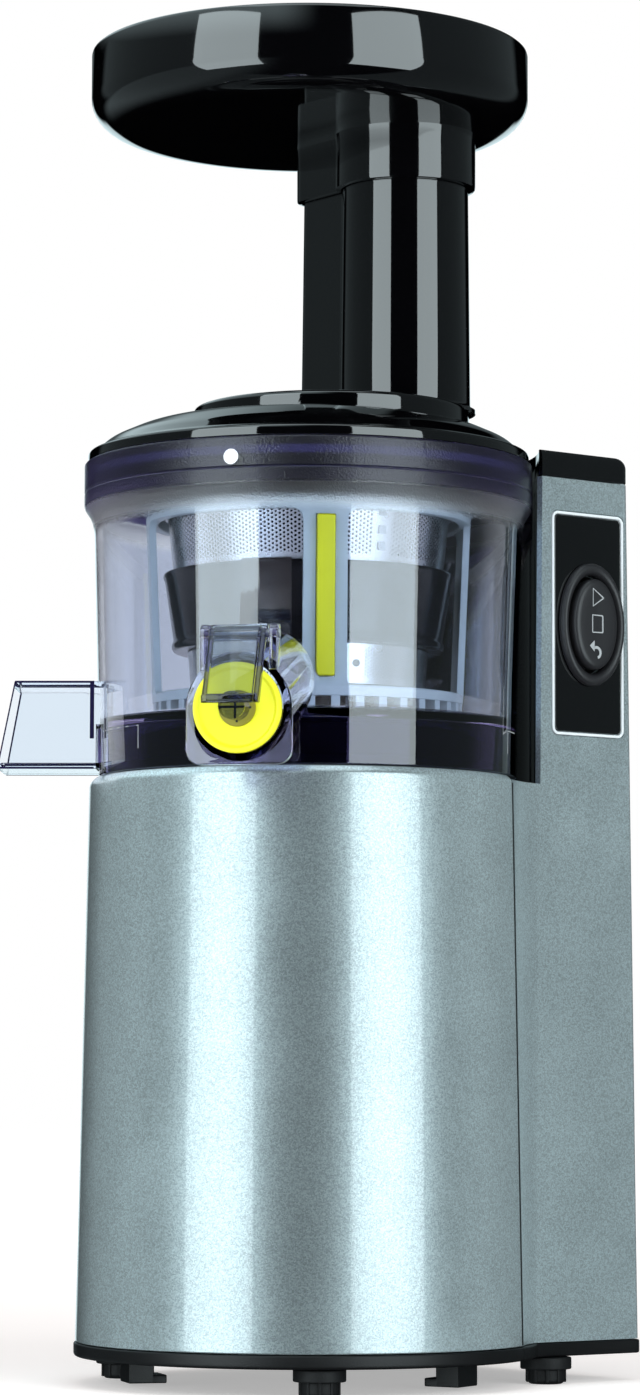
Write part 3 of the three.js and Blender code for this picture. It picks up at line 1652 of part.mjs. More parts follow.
function bladeSpan() {
  const bottom = ringBottom() + brushRingHeight + bladeMargin / 2;
  const top = brushTop() - brushTopRingHeight - bladeMargin / 2;
  return [bottom, top];
}

function makeBrushFrame() {
  const bottom = ringBottom();
  const top = brushTop();
  const inner = brushPitchRadius - bowlToothSize * bowlToothAddendumShare;
  const bottomRing = ring(inner, brushRingRadius, bottom, bottom + brushRingHeight, wideSegments);
  const topInner = brushTopRingRadius - brushTopRingWidth;
  const topRing = ring(topInner, brushTopRingRadius, top - brushTopRingHeight, top, wideSegments);
  const posts = [];
  const slots = [];
  const [bladeBottom, bladeTop] = bladeSpan();
  const postBottom = bottom + brushRingHeight / 2;
  const postTop = top - brushTopRingHeight / 2;
  const slotWidth = bladeWidth + 2 * seatGap;
  const slotBottom = bladeBottom - seatGap;
  const slotTop = bladeTop + seatGap;
  for (let i = 0; i < brushPostCount; i += 1) {
    const angle = brushPostAngle + (fullTurn * i) / brushPostCount;
    const slab = brushSlab(brushPostWidth, postBottom, postTop, 0, brushPostThickness);
    posts.push(turnedAbout(slab, angle));
    if (i % 2 === 0) {
      const slot = brushSlab(slotWidth, slotBottom, slotTop, bladeProud, 2 * bladeProud);
      slots.push(turnedAbout(slot, angle));
    }
  }
  return cut(joined(bottomRing, topRing, ...posts, ...makeBrushTeeth(bottom)), ...slots);
}

// Teeth that hang below the bottom ring and face the idler.
function makeBrushTeeth(ringLevel) {
  const inner = brushPitchRadius - bowlToothSize * bowlToothAddendumShare;
  const pitchAngle = fullTurn / brushTeeth;
  const teeth = [];
  for (let i = 0; i < brushTeeth; i += 1) {
    const middle = idlerAngle + i * pitchAngle;
    const half = (pitchAngle * bowlToothWidthShare) / 2;
    const outline = [
      polar(inner, middle - half * bowlToothTipShare),
      polar(brushRingRadius - seatGap, middle - half),
      polar(brushRingRadius - seatGap, middle + half),
      polar(inner, middle + half * bowlToothTipShare),
    ];
    teeth.push(prism(outline, gearLevel, ringLevel + seatGap));
  }
  return teeth;
}

function makeBlade(angle) {
  const [bottom, top] = bladeSpan();
  return turnedAbout(brushSlab(bladeWidth, bottom, top, bladeProud, brushPostThickness), angle);
}

// Lid

// Outline of the feed tube, seen from above: a round lobe, and a slot with a flat front beside it.
// A hollow fillet joins their fronts, and a straight stretch touches both across the back.
function lobedOutline(offset) {
  const main = [tubeMainX, tubeMainY];
  const backCorner = [slotBackCorner - slotReach, slotBack - slotBackCorner];
  const frontCorner = [slotFrontCorner - slotReach, slotFront + slotFrontCorner];
  const apart = new THREE.Vector2(backCorner[0] - tubeMainX, backCorner[1] - tubeMainY);
  const lean = apart.angle() - Math.acos((tubeMainRadius - slotBackCorner) / apart.length());
  const touching = THREE.MathUtils.radToDeg(lean);
  const filletY = slotFront - slotFillet;
  const toFillet = tubeMainRadius + slotFillet;
  const drop = tubeMainY - filletY;
  const fillet = [tubeMainX - Math.sqrt(toFillet * toFillet - drop * drop), filletY];
  const meeting = THREE.MathUtils.radToDeg(Math.asin(drop / toFillet));
  return [
    ...arc(main, tubeMainRadius + offset, meeting - halfTurn, touching, tubeMainSteps),
    ...arc(backCorner, slotBackCorner + offset, touching, halfTurn, cornerSteps),
    ...arc(frontCorner, slotFrontCorner + offset, halfTurn, threeQuarterTurn, cornerSteps),
    ...arc(fillet, slotFillet - offset, quarterTurn, meeting, slotFilletSteps).slice(0, -1),
  ];
}

// Domed solid from the lid's edge up, drawn in by an inset for its hollow.
function lidDome(inset, segments) {
  const crown = lidShoulder + lidDomeHeight - inset;
  const low = lidShoulder + lidDomeHeight * domeLowShare - inset;
  const high = lidShoulder + lidDomeHeight * domeHighShare - inset;
  const profile = [
    [0, crown],
    [platformRadius - inset, crown],
    [mix(platformRadius, lidShoulderRadius, domeHighReachShare) - inset, high],
    [mix(platformRadius, lidShoulderRadius, domeLowReachShare) - inset, low],
    [lidShoulderRadius - inset, lidShoulder - inset],
    [lidShoulderRadius - inset, lidBottom],
    [0, lidBottom],
  ];
  return turned(profile, segments);
}

function makeLid() {
  const skirtOuter = bowlRimRadius - bowlRimWall - lidSkirtGap;
  const skirtBottom = lidBottom - lidSkirtDepth;
  const platformTop = lidBottom + platformHeight + lidWall;
  const outside = joined(
    lidDome(0, wideSegments),
    rod(lidEdgeRadius, lidBottom, lidShoulder, [0, 0], wideSegments),
    rod(skirtOuter, skirtBottom, lidShoulder, [0, 0], wideSegments),
    rod(platformRadius, lidShoulder, platformTop, [0, platformShift], wideSegments),
  );
  const hollow = joined(
    lidDome(lidWall, middleSegments),
    rod(skirtOuter - lidWall, skirtBottom - cutOverrun, lidBottom + cutOverrun, [0, 0], middleSegments),
    rod(platformRadius - lidWall, lidShoulder, platformTop - lidWall, [0, platformShift], middleSegments),
  );
  const tube = loft([
    atLevel(lobedOutline(tubeDraft), platformTop - lidWall / 2),
    atLevel(lobedOutline(0), tubeTop),
  ]);
  const bore = loft([
    atLevel(lobedOutline(tubeDraft - tubeWall), lidShoulder),
    atLevel(lobedOutline(-tubeWall), tubeTop + cutOverrun),
  ]);
  const bossBottom = platformTop - lidBossLength;
  const boss = rod(lidBossRadius, bossBottom, platformTop - lidWall / 2);
  const pinTop = gearLevel + screwHeight + screwPinLength + seatGap;
  const pinHole = rod(screwPinRadius + runningGap / 2, bossBottom - cutOverrun, pinTop);
  const grooveMiddle = lidBottom - lidSkirtDepth / 2;
  const groove = ring(
    skirtOuter - lidSealDepth,
    skirtOuter + cutOverrun,
    grooveMiddle - seatGap,
    grooveMiddle + lidSealHeight + seatGap,
    wideSegments,
  );
  return cut(joined(cut(outside, hollow), makeFunnel(), tube, boss), bore, pinHole, groove);
}

// Inner funnel that leads from the wide mouth under the tube into the strainer.
function makeFunnel() {
  const neck = lidBottom - funnelNeckDrop;
  const bottom = strainerTop - funnelInsert;
  const outer = upperMeshTopRadius - meshThickness - runningGap;
  const inner = outer - lidWall;
  const top = lidShoulder + lidDomeHeight * domeHighShare - lidWall / 2;
  const profile = [
    [inner, bottom],
    [outer, bottom],
    [outer, neck],
    [funnelMouthRadius + lidWall, top],
    [funnelMouthRadius, top],
    [inner, neck],
  ];
  return turned(profile, middleSegments);
}

function makeLidSeal() {
  const rimInner = bowlRimRadius - bowlRimWall;
  const inner = rimInner - lidSkirtGap - lidSealDepth + seatGap;
  const bottom = lidBottom - lidSkirtDepth / 2;
  return ring(inner, rimInner - seatGap, bottom, bottom + lidSealHeight, wideSegments);
}

// Tray

function bend(bottomRadius, topRadius, bottom, height) {
  const points = [];
  for (let i = 0; i <= trayBendSteps; i += 1) {
    const turn = (Math.PI / 2) * (i / trayBendSteps);
    points.push([mix(bottomRadius, topRadius, Math.sin(turn)), bottom + height * (1 - Math.cos(turn))]);
  }
  return points;
}

function makeTray() {
  const floorTop = trayBottom + trayFloorThickness;
  const innerRadius = trayRadius - trayWall;
  const outside = bend(trayFloorRadius, trayRadius, trayBottom, trayBendHeight);
  const inside = bend(trayFloorRadius, innerRadius, floorTop, trayBendHeight).reverse();
  const top = trayBottom + trayHeight;
  const dish = turned([
    [0, trayBottom],
    ...outside,
    [trayRadius, top],
    [innerRadius, top],
    ...inside,
    [0, floorTop],
  ]);
  const collarBottom = trayBottom - trayCollarHeight;
  const collarTop = trayBottom + trayFloorThickness / 2;
  const collar = prism(lobedOutline(trayCollarGap + trayCollarWall), collarBottom, collarTop);
  const room = trayCollarGap + tubeDraft * collarDraftShare;
  const sleeve = prism(lobedOutline(room), collarBottom - cutOverrun, trayBottom);
  const hole = prism(lobedOutline(-tubeWall), trayBottom - cutOverrun, floorTop + cutOverrun);
  return cut(joined(dish, collar), sleeve, hole);
}

// Assembly

function mesh(name, solid, finish) {
  const [color, roughness, metalness] = finishes[finish];
  const material = new THREE.MeshStandardMaterial({ color, roughness, metalness });
  const made = new THREE.Mesh(geometryOf(solid), material);
  made.name = name;
  return made;
}

function group(...meshes) {
  return new THREE.Group().add(...meshes);
}

function makeCasing() {
  return group(
    mesh("base_plate", makeBasePlate(), "blackPlastic"),
    ...footPlaces().map(([name, place]) => mesh(name, makeFoot(place), "rubber")),
    mesh("front_shell", makeFrontShell(), "silver"),
    mesh("column_shell", makeColumnShell(), "silver"),
    mesh("column_cap", makeColumnCap(), "blackGloss"),
    mesh("column_liner", makeColumnLiner(), "blackGloss"),
    mesh("top_deck", makeTopDeck(), "blackPlastic"),
    mesh("cord_inlet", makeCordInlet(), "rubber"),
  );
}

function makeSwitchPanel() {
  return group(
    mesh("panel_plate", makePanelPlate(), "blackGloss"),
    mesh("panel_frame", makePanelFrame(), "brightLine"),
    mesh("rocker_bezel", makeRockerBezel(), "blackGloss"),
    mesh("rocker_switch", makeRocker(), "blackPlastic"),
    mesh("rocker_pin", makeRockerPin(), "steel"),
    mesh("switch_housing", makeSwitchHousing(), "blackPlastic"),
    mesh("control_board", makeControlBoard(), "boardGreen"),
    mesh("board_capacitor", makeCapacitor(), "blue"),
  );
}

function makeMotor() {
  return group(
    mesh("motor_can", makeMotorCan(), "castMetal"),
    mesh("motor_end_bell", makeMotorBell(), "castMetal"),
    mesh("motor_bearing_lower", makeMotorBearing(canBottom + motorCanWall + seatGap), "steel"),
    mesh("motor_bearing_upper", makeMotorBearing(bellTop - motorCanWall / 2 - bearingWidth), "steel"),
    mesh("stator_core", makeStatorCore(), "laminate"),
    mesh("stator_winding", makeStatorWinding(), "copper"),
    mesh("rotor_core", makeRotorCore(), "laminate"),
    mesh("motor_shaft", makeMotorShaft(), "steel"),
    mesh("cooling_fan", makeCoolingFan(), "blackPlastic"),
  );
}

function makeGearTrain() {
  const screws = screwPlaces().map((place, i) => mesh(`gearbox_screw_${i + 1}`, makeScrew(place), "steel"));
  return group(
    mesh("gearbox_housing", makeGearboxHousing(), "castMetal"),
    mesh("gearbox_cover", makeGearboxCover(), "castMetal"),
    mesh("counter_bush_lower", makeBush(housingBottom + cutOverrun + seatGap, housingInside), "bronze"),
    mesh("counter_bush_upper", makeBush(coverBottom, coverTop - cutOverrun - seatGap), "bronze"),
    mesh("counter_gear", makeCounterGear(), "gearPlastic"),
    mesh("counter_pinion", makeCounterPinion(), "steel"),
    mesh("output_gear", makeOutputGear(), "gearPlastic"),
    mesh("drive_shaft", makeDriveShaft(), "steel"),
    mesh("output_bearing_lower", makeOutputBearing(coverTop), "steel"),
    mesh("output_bearing_upper", makeOutputBearing(deckBottom), "steel"),
    ...screws,
  );
}

function makeJuicingSet() {
  return group(
    mesh("bowl", makeBowl(), "clearTint"),
    mesh("bowl_seal", makeBowlSeal(), "silicone"),
    mesh("cap_pin", makeCapRod(capPinRadius, capPinHalfLength), "steel"),
    mesh("cap_lever", makeCapLever(), "clear"),
    mesh("spout_plug", makeSpoutPlug(), "yellow"),
    mesh("brush_idler_gear", makeIdler(), "translucent"),
    mesh("screw_auger", makeAuger(), "smokeTint"),
    mesh("strainer_base", makeStrainerBase(), "smokeTint"),
    mesh("strainer_mesh_lower", makeLowerMesh(), "steelMesh"),
    mesh("strainer_band", makeBand(), "smokeTint"),
    mesh("strainer_mesh_upper", makeUpperMesh(), "steelMesh"),
    mesh("brush_frame", makeBrushFrame(), "translucent"),
    mesh("brush_blade_front", makeBlade(brushPostAngle), "yellow"),
    mesh("brush_blade_rear", makeBlade(brushPostAngle + halfTurn), "yellow"),
  );
}

function makeTop() {
  return group(
    mesh("lid", makeLid(), "blackGloss"),
    mesh("lid_seal", makeLidSeal(), "silicone"),
    mesh("feed_tray", makeTray(), "blackGloss"),
  );
}

const base = group(makeCasing(), makeSwitchPanel(), makeMotor(), makeGearTrain());
const juicer = group(base, makeJuicingSet(), makeTop());

// The origin lies on the ground at the middle of the object's own box.
const middle = new THREE.Box3().setFromObject(juicer).getCenter(new THREE.Vector3());
juicer.position.set(-middle.x, -middle.y, 0);

export default juicer;
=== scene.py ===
import math

import bmesh
import bpy
from bpy.props import FloatProperty, FloatVectorProperty, PointerProperty
from mathutils import Matrix, Vector


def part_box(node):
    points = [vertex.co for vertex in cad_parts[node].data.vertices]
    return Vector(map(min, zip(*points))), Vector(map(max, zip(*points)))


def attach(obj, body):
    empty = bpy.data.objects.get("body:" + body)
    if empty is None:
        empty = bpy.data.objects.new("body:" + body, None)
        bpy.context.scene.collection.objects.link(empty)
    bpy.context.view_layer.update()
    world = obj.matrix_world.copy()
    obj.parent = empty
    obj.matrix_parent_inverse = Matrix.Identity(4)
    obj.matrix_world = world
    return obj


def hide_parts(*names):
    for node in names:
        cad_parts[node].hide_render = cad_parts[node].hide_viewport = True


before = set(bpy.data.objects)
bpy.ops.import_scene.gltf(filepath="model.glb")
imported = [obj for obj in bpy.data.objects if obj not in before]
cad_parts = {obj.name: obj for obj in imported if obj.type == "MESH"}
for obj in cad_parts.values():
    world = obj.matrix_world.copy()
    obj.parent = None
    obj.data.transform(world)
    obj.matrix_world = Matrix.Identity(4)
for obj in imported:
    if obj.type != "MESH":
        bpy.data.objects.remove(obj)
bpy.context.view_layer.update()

bl_info = {
    "name": "Cold press juicer",
    "version": (1, 0, 0),
    "blender": (4, 5, 0),
    "location": "View3D > Sidebar > Juicer",
    "description": "Dresses the packed juicer with its mouldings, finishes, light and camera",
    "category": "Object",
}

MM = 0.001


def middle_of(node):
    low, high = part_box(node)
    return (low + high) / 2


# The juicer's upright axis in the row's frame, in metres.
AXIS = middle_of("lid_seal")

# Sizes below are millimetres from the juicer's axis and from the ground, and bearings are degrees about the axis.
GAP = 0.3
PLATE_BOTTOM = 8.6
PLATE_TOP = 12.8
SHELL_BOTTOM = 13.1
SHELL_SHOULDER = 186.7
DECK_LEVEL = 188.6
LEDGE_TOP = 187.1
LEDGE_BOTTOM = 184.6
COLUMN_TOP = 284.9
CAP_TOP = 293.4
BOWL_BOTTOM = 188.9
BOWL_FLOOR = 206.0
BOWL_TOP = 288.1
GEAR_LEVEL = 206.9
LID_BOTTOM = 288.4
LID_SHOULDER = 291.6
PLATFORM_TOP = 307.3
TUBE_TOP = 396.0
TRAY_BOTTOM = 396.3
SPOUT_ANGLE = -49.0
CHUTE_ANGLE = -128.5
MOUTH_REACH = 98.5
MOUTH_LEVEL = 203.0
PANEL_LEVEL = 238.7
PANEL_CENTRE = 73.8
ROCKER_CENTRE = 74.5
ROCKER_HOLE = (20.4, 31.4)
CASING_WALL = 2.5
RECESS = 73.2
SEAM_BEARING = 30
SPOUT_SLOPE = 18.4
SPOUT_BORE = 13.6
HINGE_REACH = -2.5
HINGE_LEVEL = 22.3
CHUTE_ROOT = 64.8
CHUTE_BOTTOM = 191.0
CHUTE_ROOF = 218.6
CHUTE_FLOOR_REACH = 97.0
CHUTE_ROOF_REACH = 91.6
CHUTE_HALF = 15.0
CHUTE_WALL = 2.0
BLADE_BEARINGS = {"brush_blade_front": -31, "brush_blade_rear": 149}
MARK_BEARING = -56.3
STUD_BEARING = -13.8
MESH_SEAM_BEARING = -6.0
SIGN_FACE = 53.86
SIGN_HEIGHT = 0.22
ROUND = 168

# The camera and the studio round it.
VIEW_TURN = 53
CAMERA_REACH = 1.356
CAMERA_LEVEL = 0.0933
CAMERA_PITCH = 5.12
CAMERA_ROLL = 0.17
FOCAL_PIXELS = 4300
IMAGE_PIXELS = 1395
SIDE_PIXELS = 12.2
SENSOR = 36.0
AWAY_BEARING = 143
LEFT_BEARING = 233
WINDOW_COLOUR = (0.84, 0.965, 1.0)
WINDOW_DISTANCE = 1.3
WINDOW_LEVEL = 0.26
WINDOW_HEIGHT = 1.64
FLOOR_HALF = 6.0


# Shapes are (points, faces) pairs in millimetres.

def polar(radius, angle):
    return radius * math.cos(math.radians(angle)), radius * math.sin(math.radians(angle))


def mix(a, b, share):
    return a + (b - a) * share


def arc(centre, radius, start, end, steps):
    points = []
    for i in range(steps + 1):
        dx, dy = polar(radius, mix(start, end, i / steps))
        points.append((centre[0] + dx, centre[1] + dy))
    return points


def soften(outline, radius, steps=4):
    """Rounds each corner of a closed outline. A point may carry its own radius as a third value."""
    rounded = []
    count = len(outline)
    for i, point in enumerate(outline):
        corner = Vector(point[:2])
        before = Vector(outline[i - 1][:2]) - corner
        after = Vector(outline[(i + 1) % count][:2]) - corner
        reach = point[2] if len(point) > 2 else radius
        reach = min(reach, 0.45 * before.length, 0.45 * after.length)
        if reach < 0.01 or corner.x < 0.01:
            rounded.append((corner.x, corner.y))
            continue
        start = corner + before.normalized() * reach
        end = corner + after.normalized() * reach
        for k in range(steps + 1):
            t = k / steps
            spot = start * (1 - t) ** 2 + corner * 2 * t * (1 - t) + end * t * t
            rounded.append((spot.x, spot.y))
    return rounded


def rounded_rectangle(width, height, corner, steps=8):
    x = width / 2 - corner
    y = height / 2 - corner
    return (arc((x, -y), corner, -90, 0, steps) + arc((x, y), corner, 0, 90, steps)
            + arc((-x, y), corner, 90, 180, steps) + arc((-x, -y), corner, 180, 270, steps))


def oval(width, height, steps=96):
    points = []
    for i in range(steps):
        turn = 2 * math.pi * i / steps
        points.append((width / 2 * math.cos(turn), height / 2 * math.sin(turn)))
    return points


def inset(outline, depth):
    """The outline drawn in by a depth along its own normals; it runs counterclockwise."""
    moved = []
    count = len(outline)
    for i in range(count):
        before = Vector(outline[i]) - Vector(outline[i - 1])
        after = Vector(outline[(i + 1) % count]) - Vector(outline[i])
        along = (before.normalized() + after.normalized()).normalized()
        moved.append((outline[i][0] - along.y * depth, outline[i][1] + along.x * depth))
    return moved


def lathe(profile, steps=ROUND, start=0.0, sweep=360.0):
    """A closed profile of (radius, level) points turned about the axis."""
    full = sweep >= 360
    around = steps if full else steps + 1
    points = []
    rows = []
    for radius, level in profile:
        if radius < 1e-6:
            rows.append([len(points)] * around)
            points.append((0, 0, level))
            continue
        rows.append(list(range(len(points), len(points) + around)))
        for k in range(around):
            points.append((*polar(radius, start + sweep * k / steps), level))
    faces = []
    for row, following in zip(rows, rows[1:] + rows[:1]):
        for k in range(steps):
            n = (k + 1) % around
            corners = [row[k], row[n], following[n], following[k]]
            loop = [c for i, c in enumerate(corners) if c != corners[i - 1]]
            if len(loop) > 2:
                faces.append(loop)
    if not full:
        faces.append([row[0] for row in rows])
        faces.append([row[-1] for row in reversed(rows)])
    return points, faces


def loft(sections, looped=False):
    """A skin over closed sections with the same number of points, with flat ends unless looped."""
    count = len(sections[0])
    points = [p for section in sections for p in section]
    faces = []
    levels = len(sections) if looped else len(sections) - 1
    for level in range(levels):
        low = level * count
        high = (level + 1) % len(sections) * count
        for i in range(count):
            n = (i + 1) % count
            faces.append([low + i, low + n, high + n, high + i])
    if not looped:
        faces.append(list(range(count)))
        faces.append(list(range(len(points) - count, len(points))))
    return points, faces


def at_level(outline, level):
    return [(x, y, level) for x, y in outline]


def prism(outline, bottom, top, edge=0.0, steps=3):
    """An upright slab; its upper and lower edges may be rounded."""
    if edge <= 0:
        return loft([at_level(outline, bottom), at_level(outline, top)])
    turns = [math.pi / 2 * i / steps for i in range(steps + 1)]
    draws = [(edge * (1 - math.sin(turn)), edge * (1 - math.cos(turn))) for turn in turns]
    sections = [at_level(inset(outline, draw), bottom + rise) for draw, rise in draws]
    sections += [at_level(inset(outline, draw), top - rise) for draw, rise in reversed(draws)]
    return loft(sections)


def rod(radius, bottom, top, x=0.0, y=0.0, edge=0.0, steps=64):
    profile = soften([(0, bottom), (radius, bottom), (radius, top), (0, top)], edge)
    return shifted(lathe(profile, steps), x, y, 0)


def block(low, high, edge=0.0):
    outline = [(low[0], low[1]), (high[0], low[1]), (high[0], high[1]), (low[0], high[1])]
    if edge > 0:
        outline = soften(outline, 1.6 * edge)
    return prism(outline, low[2], high[2], edge)


def mapped(shape, place):
    return [place(*p) for p in shape[0]], shape[1]


def shifted(shape, x, y, z):
    return mapped(shape, lambda a, b, c: (a + x, b + y, c + z))


def turned(shape, angle):
    c, s = polar(1, angle)
    return mapped(shape, lambda x, y, z: (x * c - y * s, x * s + y * c, z))


def at_mouth(shape):
    """From the middle of the spout's mouth, with +X pointing out of it."""
    return turned(shifted(shape, MOUTH_REACH, 0, MOUTH_LEVEL), SPOUT_ANGLE)


def lying(shape, slope=0.0):
    """Turns an upright shape so that its axis runs along +X, sloping down by some degrees."""
    c, s = polar(1, slope)
    if not slope:
        return mapped(shape, lambda x, y, z: (z, y, -x))
    return mapped(shape, lambda x, y, z: (z * c + x * s, y, x * c - z * s))


def across(shape):
    """Lays an (x, z) outline that was raised along Z so that it is raised along Y."""
    return mapped(shape, lambda x, y, z: (x, z, y))


def on_side(shape, centre):
    """Lays a shape drawn as (y, z, x) about a centre onto the right side of the column."""
    return mapped(shape, lambda u, v, w: (w, u + centre, v + PANEL_LEVEL))


# Objects from shapes

def solid(name, shape):
    mesh = bpy.data.meshes.new(name)
    points = [((x * MM) + AXIS.x, (y * MM) + AXIS.y, z * MM) for x, y, z in shape[0]]
    mesh.from_pydata(points, [], shape[1])
    skin = bmesh.new()
    skin.from_mesh(mesh)
    bmesh.ops.remove_doubles(skin, verts=skin.verts, dist=1e-7)
    bmesh.ops.recalc_face_normals(skin, faces=skin.faces)
    skin.to_mesh(mesh)
    skin.free()
    made = bpy.data.objects.new(name, mesh)
    bpy.context.scene.collection.objects.link(made)
    return made


def bake(obj):
    """Applies the object's modifiers to its mesh."""
    graph = bpy.context.evaluated_depsgraph_get()
    baked = bpy.data.meshes.new_from_object(obj.evaluated_get(graph))
    old = obj.data
    obj.modifiers.clear()
    obj.data = baked
    bpy.data.meshes.remove(old)
    baked.name = obj.name


def combine(obj, tool, operation):
    """Unites the tool with the object or cuts it away, and removes the tool."""
    change = obj.modifiers.new("change", "BOOLEAN")
    change.operation = operation
    change.solver = "MANIFOLD"
    change.object = tool
    bake(obj)
    mesh = tool.data
    bpy.data.objects.remove(tool)
    bpy.data.meshes.remove(mesh)


def work(obj, shapes, operation):
    for shape in shapes:
        combine(obj, solid("tool", shape), operation)


def add_to(obj, *shapes):
    work(obj, shapes, "UNION")


def cut_from(obj, *shapes):
    work(obj, shapes, "DIFFERENCE")


def dress(obj, body, finish, slot, *nodes, angle=32):
    """Gives a piece its shading and finish, and ties it to the frame."""
    mesh = obj.data
    mesh.polygons.foreach_set("use_smooth", [True] * len(mesh.polygons))
    mesh.set_sharp_from_angle(angle=math.radians(angle))
    mesh.materials.clear()
    mesh.materials.append(FINISHES[finish])
    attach(obj, body)
    if nodes:
        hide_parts(*nodes)
    return obj


def piece(name, shape, body, finish, slot, *nodes, angle=32):
    return dress(solid(name, shape), body, finish, slot, *nodes, angle=angle)


# Finishes

def feed(tree, socket, source):
    """Links a source to a socket, or sets the socket when the source is a plain value."""
    if hasattr(source, "links"):
        tree.links.new(source, socket)
    else:
        socket.default_value = source


def put(tree, kind, inputs=None, **properties):
    """Adds a node, sets its properties and feeds its inputs, which go by name or number."""
    node = tree.nodes.new(kind)
    for key, value in properties.items():
        setattr(node, key, value)
    for key, source in (inputs or {}).items():
        feed(tree, node.inputs[key], source)
    return node


def math_node(tree, operation, *values):
    return put(tree, "ShaderNodeMath", dict(enumerate(values)), operation=operation).outputs[0]


def vector_node(tree, operation, inputs):
    return put(tree, "ShaderNodeVectorMath", inputs, operation=operation).outputs


def times(tree, first, second):
    return math_node(tree, "MULTIPLY", first, second)


def plus(tree, first, second):
    return math_node(tree, "ADD", first, second)


def minus(tree, first, second):
    return math_node(tree, "SUBTRACT", first, second)


def larger(tree, first, second):
    return math_node(tree, "MAXIMUM", first, second)


def band(tree, value, low, high, out_low=0.0, out_high=1.0):
    """A soft step between two values of what is fed in."""
    settings = {"Value": value, "From Min": low, "From Max": high, "To Min": out_low, "To Max": out_high}
    return put(tree, "ShaderNodeMapRange", settings, interpolation_type="SMOOTHSTEP").outputs["Result"]


def noise(tree, vector, scale, detail=2.0, roughness=0.5):
    settings = {"Vector": vector, "Scale": scale, "Detail": detail, "Roughness": roughness}
    return put(tree, "ShaderNodeTexNoise", settings).outputs["Fac"]


def blend(tree, share, first, second):
    node = put(tree, "ShaderNodeMix", {"Factor": share}, data_type="RGBA")
    sockets = [socket for socket in node.inputs if socket.type == "RGBA"]
    feed(tree, sockets[0], first)
    feed(tree, sockets[1], second)
    return [socket for socket in node.outputs if socket.type == "RGBA"][0]


def place_in(tree):
    """Position on the piece in metres, the same in every pose."""
    return put(tree, "ShaderNodeTexCoord").outputs["Object"]


def parts_of(tree, vector):
    return put(tree, "ShaderNodeSeparateXYZ", {0: vector}).outputs


def from_axis(tree, spot):
    return vector_node(tree, "SUBTRACT", {0: spot, 1: (AXIS.x, AXIS.y, 0)})[0]


def length_of(tree, vector):
    return vector_node(tree, "LENGTH", {0: vector})["Value"]


def shaded(tree, colour, gain):
    return vector_node(tree, "SCALE", {0: colour, "Scale": gain})[0]


def new_group(name, inputs, outputs):
    tree = bpy.data.node_groups.new(name, "ShaderNodeTree")
    for label, kind, default in inputs:
        socket = tree.interface.new_socket(name=label, in_out="INPUT", socket_type=kind)
        if default is not None:
            socket.default_value = default
    for label, kind in outputs:
        tree.interface.new_socket(name=label, in_out="OUTPUT", socket_type=kind)
    return tree, put(tree, "NodeGroupInput"), put(tree, "NodeGroupOutput")


FLOAT = "NodeSocketFloat"
COLOR = "NodeSocketColor"


def make_flakes():
    """Bright and dark specks in a metallic paint."""
    tree, given, result = new_group(
        "paint_flakes",
        [("Color", COLOR, (0.5, 0.5, 0.5, 1)), ("Scale", FLOAT, 2600.0), ("Contrast", FLOAT, 0.35)],
        [("Color", COLOR), ("Height", FLOAT)],
    )
    spot = place_in(tree)
    cells = put(tree, "ShaderNodeTexVoronoi", {"Vector": spot, "Scale": given.outputs["Scale"]})
    tone = put(tree, "ShaderNodeSeparateColor", {0: cells.outputs["Color"]})
    cloud = noise(tree, spot, 45.0, 3.0)
    lift = math_node(tree, "MULTIPLY_ADD", cloud, 0.5, -0.25)
    speck = plus(tree, minus(tree, tone.outputs[0], 0.5), lift)
    gain = math_node(tree, "MULTIPLY_ADD", speck, given.outputs["Contrast"], 1.0)
    feed(tree, result.inputs["Color"], shaded(tree, given.outputs["Color"], gain))
    feed(tree, result.inputs["Height"], tone.outputs[1])
    return tree


def make_grain():
    """Fine moulded grain with soft patches, for plastics, rubber and silicone."""
    tree, given, result = new_group(
        "moulded_grain",
        [("Color", COLOR, (0.1, 0.1, 0.1, 1)), ("Scale", FLOAT, 2200.0), ("Variation", FLOAT, 0.12),
         ("Roughness", FLOAT, 0.4), ("Spread", FLOAT, 0.08)],
        [("Color", COLOR), ("Roughness", FLOAT), ("Height", FLOAT)],
    )
    spot = place_in(tree)
    fine = noise(tree, spot, given.outputs["Scale"], 2.0)
    patch = noise(tree, spot, 38.0, 3.0)
    wander = minus(tree, patch, 0.5)
    gain = math_node(tree, "MULTIPLY_ADD", wander, given.outputs["Variation"], 1.0)
    feed(tree, result.inputs["Color"], shaded(tree, given.outputs["Color"], gain))
    rough = math_node(tree, "MULTIPLY_ADD", wander, given.outputs["Spread"], given.outputs["Roughness"])
    feed(tree, result.inputs["Roughness"], rough)
    feed(tree, result.inputs["Height"], fine)
    return tree


def make_smudges():
    """Faint handling marks that change the gloss a little."""
    tree, given, result = new_group(
        "handling_marks",
        [("Roughness", FLOAT, 0.06), ("Spread", FLOAT, 0.05)],
        [("Roughness", FLOAT)],
    )
    mark = band(tree, noise(tree, place_in(tree), 22.0, 5.0, 0.6), 0.48, 0.72)
    rough = math_node(tree, "MULTIPLY_ADD", mark, given.outputs["Spread"], given.outputs["Roughness"])
    feed(tree, result.inputs["Roughness"], rough)
    return tree


